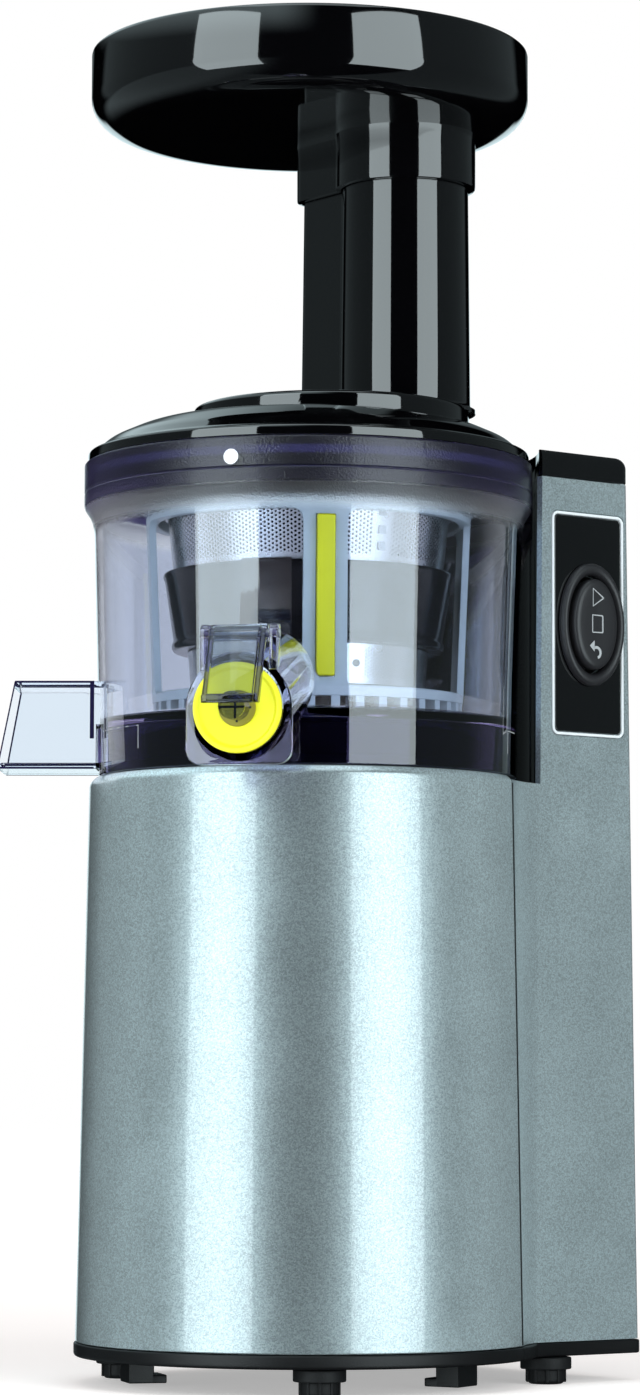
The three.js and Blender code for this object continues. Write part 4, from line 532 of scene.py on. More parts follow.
def make_holes():
    """Mask of round holes in staggered columns round the axis: 1 is metal, 0 is hole."""
    tree, given, result = new_group(
        "round_holes",
        [("Pairs", FLOAT, 115.0), ("Pitch", FLOAT, 0.00137), ("Share", FLOAT, 0.3),
         ("Bottom", FLOAT, 0.0), ("Top", FLOAT, 1.0), ("Seam", FLOAT, 0.0)],
        [("Mask", FLOAT), ("Height", FLOAT)],
    )
    parts = parts_of(tree, from_axis(tree, place_in(tree)))
    level = parts["Z"]
    bearing = math_node(tree, "ARCTAN2", parts["Y"], parts["X"])
    turn = math_node(tree, "DIVIDE", bearing, 2 * math.pi)
    along = times(tree, turn, given.outputs["Pairs"])
    up = math_node(tree, "DIVIDE", level, given.outputs["Pitch"])
    turns_ahead = 1000  # keeps the fraction's argument above zero
    seam_half = 0.0125

    def distance(shift):
        u = minus(tree, math_node(tree, "FRACT", plus(tree, along, shift + turns_ahead)), 0.5)
        v = minus(tree, math_node(tree, "FRACT", plus(tree, up, shift)), 0.5)
        u = times(tree, u, math.sqrt(3))
        return math_node(tree, "SQRT", plus(tree, times(tree, u, u), times(tree, v, v)))

    nearest = math_node(tree, "MINIMUM", distance(0.0), distance(0.5))
    metal = math_node(tree, "GREATER_THAN", nearest, given.outputs["Share"])
    under = math_node(tree, "LESS_THAN", level, given.outputs["Bottom"])
    over = math_node(tree, "GREATER_THAN", level, given.outputs["Top"])
    plain = larger(tree, under, over)
    aside = math_node(tree, "ABSOLUTE", minus(tree, turn, given.outputs["Seam"]))
    plain = larger(tree, plain, band(tree, aside, seam_half, seam_half + 0.0001, 1.0, 0.0))
    feed(tree, result.inputs["Mask"], larger(tree, metal, plain))
    feed(tree, result.inputs["Height"], band(tree, nearest, 0.3, 0.5))
    return tree


GROUPS = {}
FINISHES = {}


def use(tree, name, **inputs):
    """Places a shared effect and feeds its inputs."""
    return put(tree, "ShaderNodeGroup", inputs, node_tree=GROUPS[name])


def new_finish(name, **values):
    """Starts a material and sets its shader's plain sockets; returns its tree and shader."""
    material = bpy.data.materials.new(name)
    material.use_nodes = True
    tree = material.node_tree
    shader = tree.nodes["Principled BSDF"]
    for key, value in values.items():
        shader.inputs[key.replace("_", " ")].default_value = value
    FINISHES[name] = material
    return tree, shader


def bump(tree, shader, height, strength, distance):
    node = put(tree, "ShaderNodeBump", {"Strength": strength, "Distance": distance, "Height": height})
    feed(tree, shader.inputs["Normal"], node.outputs[0])


def moulded(name, colour, roughness, scale=2200.0, variation=0.12, spread=0.08, strength=0.15, **values):
    tree, shader = new_finish(name, **values)
    grain = use(tree, "moulded_grain", Color=(*colour, 1), Scale=scale, Variation=variation,
                Roughness=roughness, Spread=spread)
    feed(tree, shader.inputs["Base Color"], grain.outputs["Color"])
    feed(tree, shader.inputs["Roughness"], grain.outputs["Roughness"])
    bump(tree, shader, grain.outputs["Height"], strength, 0.0002)


def marked(tree, shader, roughness, spread):
    """Roughness with faint handling marks in it."""
    marks = use(tree, "handling_marks", Roughness=roughness, Spread=spread)
    feed(tree, shader.inputs["Roughness"], marks.outputs[0])


def glossy(name, colour, roughness, **values):
    """Polished hard plastic."""
    tree, shader = new_finish(name, Base_Color=(*colour, 1), **values)
    marked(tree, shader, roughness, 0.035)


def let_light_through(tree, shader, colour):
    """Lamps shine through the clear plastic instead of being blocked by it."""
    rays = put(tree, "ShaderNodeLightPath")
    clear = put(tree, "ShaderNodeBsdfTransparent", {0: (*colour, 1)})
    both = put(tree, "ShaderNodeMixShader",
               {0: rays.outputs["Is Shadow Ray"], 1: shader.outputs[0], 2: clear.outputs[0]})
    feed(tree, tree.nodes["Material Output"].inputs["Surface"], both.outputs[0])


def clear_plastic(name, colour, roughness, index=1.49):
    tree, shader = new_finish(name, Base_Color=(*colour, 1), Transmission_Weight=1.0, IOR=index)
    marked(tree, shader, roughness, 0.02)
    let_light_through(tree, shader, (0.85, 0.85, 0.9))


def make_paint(tones):
    """Silver flake paint under a clear coat, with a painted sheen: paler where the surface turns away, standing in
    for reflected side light.
    """
    tree, shader = new_finish("silver_paint", Metallic=0.75, Coat_Weight=1.0, Coat_Roughness=0.05)
    facing = put(tree, "ShaderNodeLayerWeight", {"Blend": 0.5})
    # Painted sheen: the paler colour blended in at a slant stands in for reflected side light.
    sheen_share = band(tree, facing.outputs["Facing"], 0.11, 0.40)
    tone = blend(tree, sheen_share, (*tones.paint, 1), (*tones.paint_slant_sheen, 1))
    flakes = use(tree, "paint_flakes", Color=tone, Scale=2600.0, Contrast=0.5)
    feed(tree, shader.inputs["Base Color"], flakes.outputs["Color"])
    marked(tree, shader, 0.31, 0.05)
    bump(tree, shader, flakes.outputs["Height"], 0.12, 0.0001)


def make_bowl_clear(tones):
    """Tinted clear plastic, frosted and darker round the rim."""
    tree, shader = new_finish("bowl_clear", Transmission_Weight=1.0, IOR=1.49, Coat_Roughness=0.02)
    spot = place_in(tree)
    level = parts_of(tree, spot)["Z"]
    rim_edge = (0.2738, 0.2748)
    rim = band(tree, level, *rim_edge)
    flare = times(tree, band(tree, level, 0.2655, 0.2690), band(tree, level, *rim_edge, 1.0, 0.0))
    level_reach = vector_node(tree, "MULTIPLY", {0: from_axis(tree, spot), 1: (1, 1, 0)})[0]
    reach = length_of(tree, level_reach)
    skirt_radius, spout_start = 0.0668, 0.0722
    near = math_node(tree, "LESS_THAN", reach, skirt_radius)
    skirt = times(tree, band(tree, level, 0.2050, 0.2062, 1.0, 0.0), near)
    tint = blend(tree, flare, (*tones.bowl, 1), (*tones.frost, 1))
    tint = blend(tree, rim, tint, (*tones.rim, 1))
    tint = blend(tree, skirt, tint, (*tones.skirt, 1))
    outlet = math_node(tree, "GREATER_THAN", reach, spout_start)
    tint = blend(tree, outlet, tint, (*tones.spout, 1))
    feed(tree, shader.inputs["Base Color"], tint)
    textured = larger(tree, flare, rim)
    feed(tree, shader.inputs["Coat Weight"], math_node(tree, "MULTIPLY_ADD", textured, -0.85, 1.0))
    marks = use(tree, "handling_marks", Roughness=0.015, Spread=0.02)
    frost = math_node(tree, "MULTIPLY_ADD", textured, 0.27, marks.outputs[0])
    feed(tree, shader.inputs["Roughness"], frost)
    bump(tree, shader, times(tree, noise(tree, spot, 1500.0, 2.0), textured), 0.6, 0.0003)
    let_light_through(tree, shader, (0.80, 0.80, 0.88))


def make_mesh_steel(name, pairs, pitch, bottom, top, seam):
    """Steel sheet with round holes; the seam is a bearing in degrees."""
    tree, shader = new_finish(name, Metallic=1.0, Base_Color=(0.62, 0.64, 0.65, 1))
    holes = use(tree, "round_holes", Pairs=pairs, Pitch=pitch, Share=0.3, Bottom=bottom, Top=top,
                Seam=seam / 360)
    marked(tree, shader, 0.26, 0.08)
    feed(tree, shader.inputs["Alpha"], holes.outputs["Mask"])
    bump(tree, shader, holes.outputs["Height"], 0.12, 0.0001)


def make_metal(name, colour, roughness, scale, strength, stretch=(1, 1, 1)):
    tree, shader = new_finish(name, Metallic=1.0)
    placed = put(tree, "ShaderNodeMapping", {"Vector": place_in(tree), "Scale": stretch})
    grain = noise(tree, placed.outputs[0], scale, 3.0)
    dark = [c * 0.82 for c in colour]
    bright = [min(1, c * 1.12) for c in colour]
    tone = blend(tree, grain, (*dark, 1), (*bright, 1))
    feed(tree, shader.inputs["Base Color"], tone)
    feed(tree, shader.inputs["Roughness"], band(tree, grain, 0.2, 0.8, roughness - 0.06, roughness + 0.06))
    bump(tree, shader, grain, strength, 0.0003)


def make_banded(name, metallic, roughness, scale, distortion, dark, bright, strength, depth):
    """Fine level bands, as wound wire or stacked sheets show."""
    tree, shader = new_finish(name, Metallic=metallic, Roughness=roughness)
    settings = {"Vector": place_in(tree), "Scale": scale, "Distortion": distortion}
    waves = put(tree, "ShaderNodeTexWave", settings, wave_type="BANDS", bands_direction="Z")
    tone = blend(tree, waves.outputs["Fac"], (*dark, 1), (*bright, 1))
    feed(tree, shader.inputs["Base Color"], tone)
    bump(tree, shader, waves.outputs["Fac"], strength, depth)


def make_board():
    tree, shader = new_finish("circuit_board", Roughness=0.35)
    tracks = put(tree, "ShaderNodeTexBrick", {
        "Vector": place_in(tree), "Scale": 160.0, "Color1": (0.012, 0.10, 0.035, 1),
        "Color2": (0.015, 0.13, 0.045, 1), "Mortar": (0.03, 0.20, 0.07, 1),
    })
    feed(tree, shader.inputs["Base Color"], tracks.outputs["Color"])
    bump(tree, shader, tracks.outputs["Fac"], 0.3, 0.0001)


def size_setting(name, description, default):
    return FloatProperty(name=name, description=description, default=default, min=0.0005, unit="LENGTH")


def colour_setting(name, description, default):
    return FloatVectorProperty(name=name, description=description, default=default, min=0, max=1, subtype="COLOR")


class JuicerSizes(bpy.types.PropertyGroup):
    """Main sizes of the mouldings."""
    body_foot: size_setting("Body radius at the foot", "Outer radius of the silver body at its foot", 0.072)
    body_head: size_setting("Body radius at the top", "Outer radius of the silver body under the bowl", 0.0688)
    column_half: size_setting("Column half width", "Half the width of the switch column", 0.05)
    bowl_skirt: size_setting("Bowl skirt radius", "Outer radius of the bowl at its foot", 0.066)
    bowl_rim: size_setting("Bowl rim radius", "Outer radius of the bowl's rim band", 0.0711)
    bowl_wall: size_setting("Bowl wall", "Thickness of the bowl's clear wall", 0.0024)
    lid_edge: size_setting("Lid radius", "Radius of the lid's edge", 0.07)
    tray_radius: size_setting("Tray radius", "Outer radius of the food tray", 0.0698)
    tray_height: size_setting("Tray height", "Height of the food tray", 0.0251)
    spout_radius: size_setting("Spout radius", "Outer radius of the juice spout", 0.0156)
    rocker_width: size_setting("Rocker width", "Width of the three way rocker", 0.018)
    rocker_height: size_setting("Rocker height", "Height of the three way rocker", 0.029)


class JuicerColours(bpy.types.PropertyGroup):
    """Colours of the finishes."""
    paint: colour_setting("Silver paint", "Metallic paint of the body and column", (0.31, 0.365, 0.38))
    # Painted sheen: a paler paint colour at a slant, standing in for reflected side light.
    paint_slant_sheen: colour_setting("Silver paint, turned away", "Paint colour seen at a slant", (0.63, 0.75, 0.78))
    bowl: colour_setting("Bowl", "Tint of the bowl's clear wall", (0.73, 0.78, 0.895))
    rim: colour_setting("Rim", "Tint of the bowl's rim band", (0.065, 0.055, 0.16))
    frost: colour_setting("Frosted shoulder", "Tint of the bowl just below its rim", (0.93, 0.96, 1.0))
    spout: colour_setting("Spout", "Tint of the juice spout", (0.40, 0.38, 0.60))
    chute: colour_setting("Chute", "Tint of the pulp chute", (0.85, 0.91, 0.965))
    skirt: colour_setting("Skirt", "Tint of the bowl's skirt", (0.12, 0.10, 0.26))
    gloss: colour_setting("Gloss black", "Polished black of the lid, tube, tray and panel", (0.0010, 0.0010, 0.0013))
    yellow: colour_setting("Yellow", "Silicone of the plug and blades", (0.86, 0.84, 0.01))
    brush: colour_setting("Brush frame", "Translucent plastic of the brush frame", (0.60, 0.68, 0.68))
    band: colour_setting("Strainer band", "Dark tinted band of the strainer", (0.0012, 0.0010, 0.0026))


def sizes():
    return bpy.context.scene.juicer_sizes


def colours():
    return bpy.context.scene.juicer_colours


def mm(length):
    return length / MM


class JUICER_OT_finishes(bpy.types.Operator):
    """Makes the shared effects and all finishes"""
    bl_idname = "juicer.finishes"
    bl_label = "Finishes"

    def execute(self, context):
        GROUPS["paint_flakes"] = make_flakes()
        GROUPS["moulded_grain"] = make_grain()
        GROUPS["handling_marks"] = make_smudges()
        GROUPS["round_holes"] = make_holes()
        tones = colours()
        make_paint(tones)
        make_bowl_clear(tones)
        make_mesh_steel("upper_mesh_steel", 115.0, 0.00137, 0.2556, 0.2706, MESH_SEAM_BEARING)
        make_mesh_steel("lower_mesh_steel", 124.0, 0.0011, 0.2180, 0.2274, STUD_BEARING)
        glossy("gloss_black", tones.gloss, 0.05, Coat_Weight=1.0, Coat_Roughness=0.02)
        moulded("satin_black", (0.0035, 0.0035, 0.004), 0.42, strength=0.25, Specular_IOR_Level=0.3)
        moulded("rocker_black", (0.014, 0.014, 0.016), 0.38, strength=0.1)
        moulded("foot_rubber", (0.004, 0.004, 0.0045), 0.6, strength=0.35, Specular_IOR_Level=0.3)
        clear_plastic("cap_clear", (0.55, 0.61, 0.72), 0.02)
        clear_plastic("cap_tinted", (0.14, 0.14, 0.25), 0.02)
        clear_plastic("chute_clear", tones.chute, 0.02, index=1.12)
        glossy("violet_edge", (0.012, 0.010, 0.040), 0.12)
        moulded("trim_silver", (0.72, 0.76, 0.78), 0.3, variation=0.03, strength=0.03)
        glossy("smoke", tones.band, 0.16, Specular_IOR_Level=0.3)
        moulded("translucent", tones.brush, 0.34, variation=0.06, strength=0.08,
                Transmission_Weight=0.25, Subsurface_Weight=0.2, Subsurface_Radius=(0.004, 0.004, 0.004))
        moulded("yellow_silicone", tones.yellow, 0.42, scale=1600.0, variation=0.05, strength=0.1)
        # A darker copy of the yellow silicone: painted shade for the plug's sunken middle.
        moulded("shaded_yellow_silicone", (0.24, 0.21, 0.006), 0.5, scale=1600.0, variation=0.05, strength=0.1)
        moulded("pale_silicone", (0.62, 0.66, 0.68), 0.55, strength=0.15)
        moulded("gear_nylon", (0.70, 0.67, 0.57), 0.42, strength=0.1)
        moulded("sleeve_blue", (0.02, 0.05, 0.28), 0.45)
        moulded("mark_white", (0.84, 0.86, 0.92), 0.4, variation=0.03, strength=0.04)
        moulded("mark_grey", (0.36, 0.38, 0.39), 0.4, variation=0.03, strength=0.04)
        make_metal("ground_steel", (0.58, 0.59, 0.60), 0.32, 700.0, 0.1, (1, 1, 0.1))
        make_metal("cast_alloy", (0.45, 0.46, 0.47), 0.52, 500.0, 0.4)
        make_metal("sintered_bronze", (0.48, 0.32, 0.13), 0.42, 900.0, 0.3)
        make_banded("wound_wire", 1.0, 0.34, 320.0, 1.5, (0.20, 0.07, 0.03), (0.62, 0.27, 0.12), 0.8, 0.0005)
        make_banded("stacked_sheets", 0.9, 0.5, 310.0, 0.0, (0.07, 0.075, 0.08), (0.19, 0.195, 0.20), 0.5, 0.0003)
        make_board()
        return {"FINISHED"}


# Casing

def body_radius(level):
    s = sizes()
    share = (level - SHELL_BOTTOM) / (SHELL_SHOULDER - SHELL_BOTTOM)
    return mix(mm(s.body_foot), mm(s.body_head), share)


def column_share(level):
    return (level - SHELL_BOTTOM) / (COLUMN_TOP - SHELL_BOTTOM)


def column_back(level):
    return mix(95.4, 91.6, column_share(level))


def column_front(level):
    return mix(52.2, 55.0, column_share(level))


def column_side(level, depth):
    corner = 3.0 - depth
    side = mm(sizes().column_half) - depth
    centre = (side - corner, column_back(level) - depth - corner)
    return [(side, column_front(level))] + arc(centre, corner, 0, 90, 10)


def column_wing(level, depth, steps=16):
    radius = body_radius(level) - depth
    seam = Vector(polar(radius, SEAM_BEARING + math.degrees(GAP / radius)))
    edge = Vector((mm(sizes().column_half) - depth, column_front(level)))
    middle = (seam + edge) / 2 - Vector((2.7, 0))
    points = []
    for i in range(steps):
        t = i / steps
        spot = seam * (1 - t) ** 2 + middle * 2 * t * (1 - t) + edge * t * t
        points.append((spot.x, spot.y))
    return points


def column_outline(level, depth, winged):
    right = (column_wing(level, depth) if winged else []) + column_side(level, depth)
    return right + [(-x, y) for x, y in reversed(right)]


def column_wall(bottom, top, winged):
    sections = []
    for level in (bottom, top):
        outer = column_outline(level, 0, winged)
        inner = list(reversed(column_outline(level, CASING_WALL, winged)))
        sections.append(at_level(outer + inner, level))
    return loft(sections)


class JUICER_OT_base(bpy.types.Operator):
    """Makes the black base plate with its cord hooks, and the four feet"""
    bl_idname = "juicer.base"
    bl_label = "Base and feet"

    def execute(self, context):
        rim = 72.5
        disc = soften([(0, PLATE_BOTTOM), (rim, PLATE_BOTTOM, 1.2), (rim, PLATE_TOP, 0.6), (0, PLATE_TOP)], 0.6)
        plate = solid("base_tray", lathe(disc))
        add_to(plate, prism(column_outline(SHELL_BOTTOM, -0.5, True), PLATE_BOTTOM, PLATE_TOP, 0.5))
        for x, y in ((-20, -50), (50, 20)):
            turn = math.degrees(math.atan2(y, x)) + 180
            stem = block((-4, -6, 1.0), (4, 6, 10.7), 0.4)
            toe = block((3, -6, 1.0), (8, 6, 3.6), 0.4)
            add_to(plate, shifted(turned(stem, turn), x, y, 0), shifted(turned(toe, turn), x, y, 0))
        dress(plate, "base", "satin_black", "black_plastic", "base_plate")
        for name, x, y in (("foot_front_left", -52, -34), ("foot_front_right", 52, -34),
                           ("foot_rear_left", -45, 60), ("foot_rear_right", 45, 60)):
            profile = soften([(0, 0), (5.0, 0), (6, 1.0), (6, 4.6), (8, 4.6), (8, 8.3), (3.5, 8.3), (3.5, 11.2),
                              (0, 11.2)], 0.5)
            foot = solid(name + "_pad", shifted(lathe(profile, 72), x, y, 0))
            for i in range(10):
                rib = block((5.4, -0.5, 0.6), (6.5, 0.5, 4.8), 0.2)
                add_to(foot, shifted(turned(rib, 36 * i), x, y, 0))
            dress(foot, "base", "foot_rubber", "rubber", name)
        return {"FINISHED"}


class JUICER_OT_body(bpy.types.Operator):
    """Makes the painted front shell of the body"""
    bl_idname = "juicer.body"
    bl_label = "Painted body"

    def execute(self, context):
        s = sizes()
        foot, head = mm(s.body_foot), mm(s.body_head)
        lip = LEDGE_BOTTOM
        profile = [(foot - CASING_WALL, SHELL_BOTTOM, 0.3), (foot, SHELL_BOTTOM, 0.5), (head, SHELL_SHOULDER, 1.2),
                   (head - 1.9, DECK_LEVEL, 0.6), (head - 4.5, DECK_LEVEL, 0.4), (head - 4.5, lip, 0.2),
                   (body_radius(lip) - CASING_WALL, lip, 0.2)]
        left_seam = 180 - SEAM_BEARING
        shell = lathe(soften(profile, 0.4), 160, left_seam, 360 - 2 * (left_seam - 90))
        piece("body_shell", shell, "base", "silver_paint", "silver", "front_shell")
        # Black strips along both seams: the joints are real, but the strips' black and width are painted shade of the
        # gap and of the hollow wing beside it.
        half, sunk, proud = 0.65, -0.3, 0.03
        for name, bearing in (("seam_shade_right", SEAM_BEARING + 0.3), ("seam_shade_left", left_seam - 0.3)):
            sections = []
            for level in (SHELL_BOTTOM + 0.4, SHELL_SHOULDER - 0.6):
                radius = body_radius(level)
                ring = []
                for reach, aside in ((sunk, -half), (proud, -half), (proud, half), (sunk, half)):
                    ring.append((*polar(radius + reach, bearing + math.degrees(aside / radius)), level))
                sections.append(ring)
            piece(name, loft(sections), "base", "satin_black", "silver")
        return {"FINISHED"}


class JUICER_OT_column(bpy.types.Operator):
    """Makes the switch column, its cap and the black lining behind the bowl"""
    bl_idname = "juicer.column"
    bl_label = "Column"

    def execute(self, context):
        shell = solid("column_casing", column_wall(SHELL_BOTTOM, LEDGE_TOP, True))
        add_to(shell, column_wall(LEDGE_BOTTOM, COLUMN_TOP, False))
        ledge = solid("ledge", prism(column_outline(LEDGE_TOP, 0.05, True), LEDGE_BOTTOM, LEDGE_TOP - 0.02))
        cut_from(ledge, rod(64.3, LEDGE_BOTTOM - 1, LEDGE_TOP + 1, steps=ROUND))
        hollow = solid("hollow", prism(column_outline(LEDGE_TOP, CASING_WALL, True), LEDGE_BOTTOM - 1, COLUMN_TOP))
        cut_from(hollow, rod(77.9, LEDGE_BOTTOM - 2, COLUMN_TOP + 1, steps=ROUND))
        combine(ledge, hollow, "DIFFERENCE")
        combine(shell, ledge, "UNION")
        pocket = prism(rounded_rectangle(30.4, 71.8, 2.5), 48.6, 51)
        cut_from(shell, on_side(pocket, PANEL_CENTRE), rocker_hole())
        gland = mapped(rod(6.3, 90, 96.4, steps=48), lambda x, y, z: (x, z, y + 33.1))
        cut_from(shell, gland)
        dress(shell, "base", "silver_paint", "silver", "column_shell", angle=28)
        self.make_cap()
        foot, back = LEDGE_TOP + GAP, RECESS + 2.2
        lining = [(RECESS, foot), (RECESS, COLUMN_TOP), (back, COLUMN_TOP), (back, foot)]
        lining = lathe(lining, 72, 49.9, 80.2)
        piece("column_lining", lining, "base", "gloss_black", "black_gloss", "column_liner")
        return {"FINISHED"}

    def make_cap(self):
        edge = 3.4
        bottom = COLUMN_TOP + GAP
        shoulder = CAP_TOP - edge
        front, back = column_front(COLUMN_TOP), column_back(COLUMN_TOP)
        outline = column_outline(COLUMN_TOP, 0, False)
        sections = [at_level(inset(outline, 0.25), bottom), at_level(outline, bottom + 0.3),
                    at_level(outline, shoulder)]
        steps = 9
        for i in range(1, steps + 1):
            turn = math.pi / 2 * i / steps
            lift = math.sin(turn)
            draw = 1 - math.cos(turn)
            ring = []
            for x, y in outline:
                share = (y - front) / (back - front)
                ring.append((x * (1 - draw / 50), y - edge * share * draw, shoulder + edge * lift))
            sections.append(ring)
        cap = solid("column_cap_moulding", loft(sections))
        cut_from(cap, rod(RECESS, bottom - 1, CAP_TOP + 1, steps=ROUND))
        dress(cap, "base", "gloss_black", "black_gloss", "column_cap")


class JUICER_OT_deck(bpy.types.Operator):
    """Makes the deck that the bowl stands on"""
    bl_idname = "juicer.deck"
    bl_label = "Deck"

    def execute(self, context):
        profile = [(6.9, 184.3), (64.0, 184.3), (64.0, 188.3), (62.9, 188.3), (62.9, 192.5, 0.6), (59.9, 192.5, 0.6),
                   (59.9, 188.3), (55, 188.3), (55, 203.2, 0.8), (6.9, 203.2)]
        deck = solid("deck_moulding", lathe(soften(profile, 0.2)))
        notch = block((21.5, -16, 190.6), (72, 16, 204.2))
        cut_from(deck, turned(notch, CHUTE_ANGLE), rod(16.3, 184, 190.6), rod(6.9, 184, 204))
        dress(deck, "base", "satin_black", "black_plastic", "top_deck")
        return {"FINISHED"}


# Switch panel

def rocker_hole():
    return on_side(prism(oval(*ROCKER_HOLE), 45, 53.6), ROCKER_CENTRE)


class JUICER_OT_panel(bpy.types.Operator):
    """Makes the black switch panel and its bright frame"""
    bl_idname = "juicer.panel"
    bl_label = "Switch panel"

    def execute(self, context):
        plate = solid("panel_face", on_side(prism(rounded_rectangle(27.4, 68.8, 1.6), 48.9, 50, 0.25), PANEL_CENTRE))
        cut_from(plate, rocker_hole())
        dress(plate, "base", "gloss_black", "black_gloss", "panel_plate")
        outer = rounded_rectangle(29.8, 71.2, 2.5, 12)
        sections = []
        for depth, level in ((0, 48.9), (0, 50.1), (0.15, 50.3), (0.75, 50.3), (0.9, 50.1), (0.9, 48.9)):
            sections.append(at_level(inset(outer, depth), level))
        frame_line = on_side(loft(sections, looped=True), PANEL_CENTRE)
        piece("panel_line", frame_line, "base", "trim_silver", "bright_line", "panel_frame")
        return {"FINISHED"}


class JUICER_OT_rocker(bpy.types.Operator):
    """Makes the rocker's bezel, the rocker and its three signs"""
    bl_idname = "juicer.rocker"
    bl_label = "Rocker"

    def execute(self, context):
        rings = []
        for grow, level in ((0, 50.3), (0, 51.3), (-0.35, 52.2), (-1.0, 52.7), (-1.7, 52.85), (-2.6, 52.7),
                            (-3.4, 52.2), (-3.9, 51.4), (-4.0, 50.3)):
            share = grow / -4.0
            rings.append(at_level(oval(mix(26, ROCKER_HOLE[0], share), mix(39.3, ROCKER_HOLE[1], share)), level))
        bezel = on_side(loft(rings, looped=True), ROCKER_CENTRE)
        piece("rocker_surround", bezel, "base", "rocker_black", "black_gloss", "rocker_bezel", angle=60)
        s = sizes()
        width, height = mm(s.rocker_width), mm(s.rocker_height)
        rings = [at_level(oval(width - 4, height - 10), 43.5), at_level(oval(width, height), 50.3),
                 at_level(oval(width, height), 52.6)]
        for draw, level in ((0.25, 53.2), (0.7, 53.65), (1.3, 53.9), (2.2, 54.0), (4.5, 53.98), (7.5, 53.9)):
            rings.append(at_level(oval(width - 2 * draw, height - 2 * draw), level))
        rocker = solid("rocker_button", on_side(loft(rings), ROCKER_CENTRE))
        hole = mapped(rod(1.5, -18, 18, steps=32), lambda x, y, z: (x + 45.8, z + ROCKER_CENTRE, y + PANEL_LEVEL))
        cut_from(rocker, hole)
        dress(rocker, "rocker", "rocker_black", "black_plastic", "rocker_switch", angle=60)
        self.make_signs()
        return {"FINISHED"}

    def make_signs(self):
        """Triangle, square and turning arrow as thin raised lines."""
        low, high = SIGN_FACE, SIGN_FACE + SIGN_HEIGHT
        triangle = [(-2.0, 11.4), (-2.0, 5.4), (2.9, 8.4)]
        square = [(-2.3, 2.9), (-2.3, -2.9), (2.3, -2.9), (2.3, 2.9)]
        bow = arc((-0.6, -9.2), 2.1, -70, 120, 24) + arc((-0.6, -9.2), 1.25, 120, -70, 24)
        signs = {}
        for name, outline in (("sign_triangle", triangle), ("sign_square", square)):
            outer = soften(leftward(outline), 0.6)
            inner = inset(outer, 0.42)
            rings = [at_level(outer, low), at_level(outer, high), at_level(inner, high), at_level(inner, low)]
            signs[name] = loft(rings, looped=True)
        signs["sign_arrow_bow"] = prism(bow, low, high)
        signs["sign_arrow_head"] = prism([(-1.4, -8.9), (-1.4, -5.4), (-3.4, -7.1)], low, high)
        for name, shape in signs.items():
            piece(name, on_side(shape, ROCKER_CENTRE), "rocker", "mark_grey", "black_plastic")


def leftward(outline):
    """The outline in counterclockwise order."""
    area = 0
    for (x0, y0, *_), (x1, y1, *_) in zip(outline, outline[1:] + outline[:1]):
        area += x0 * y1 - x1 * y0
    return outline if area > 0 else list(reversed(outline))


# Bowl

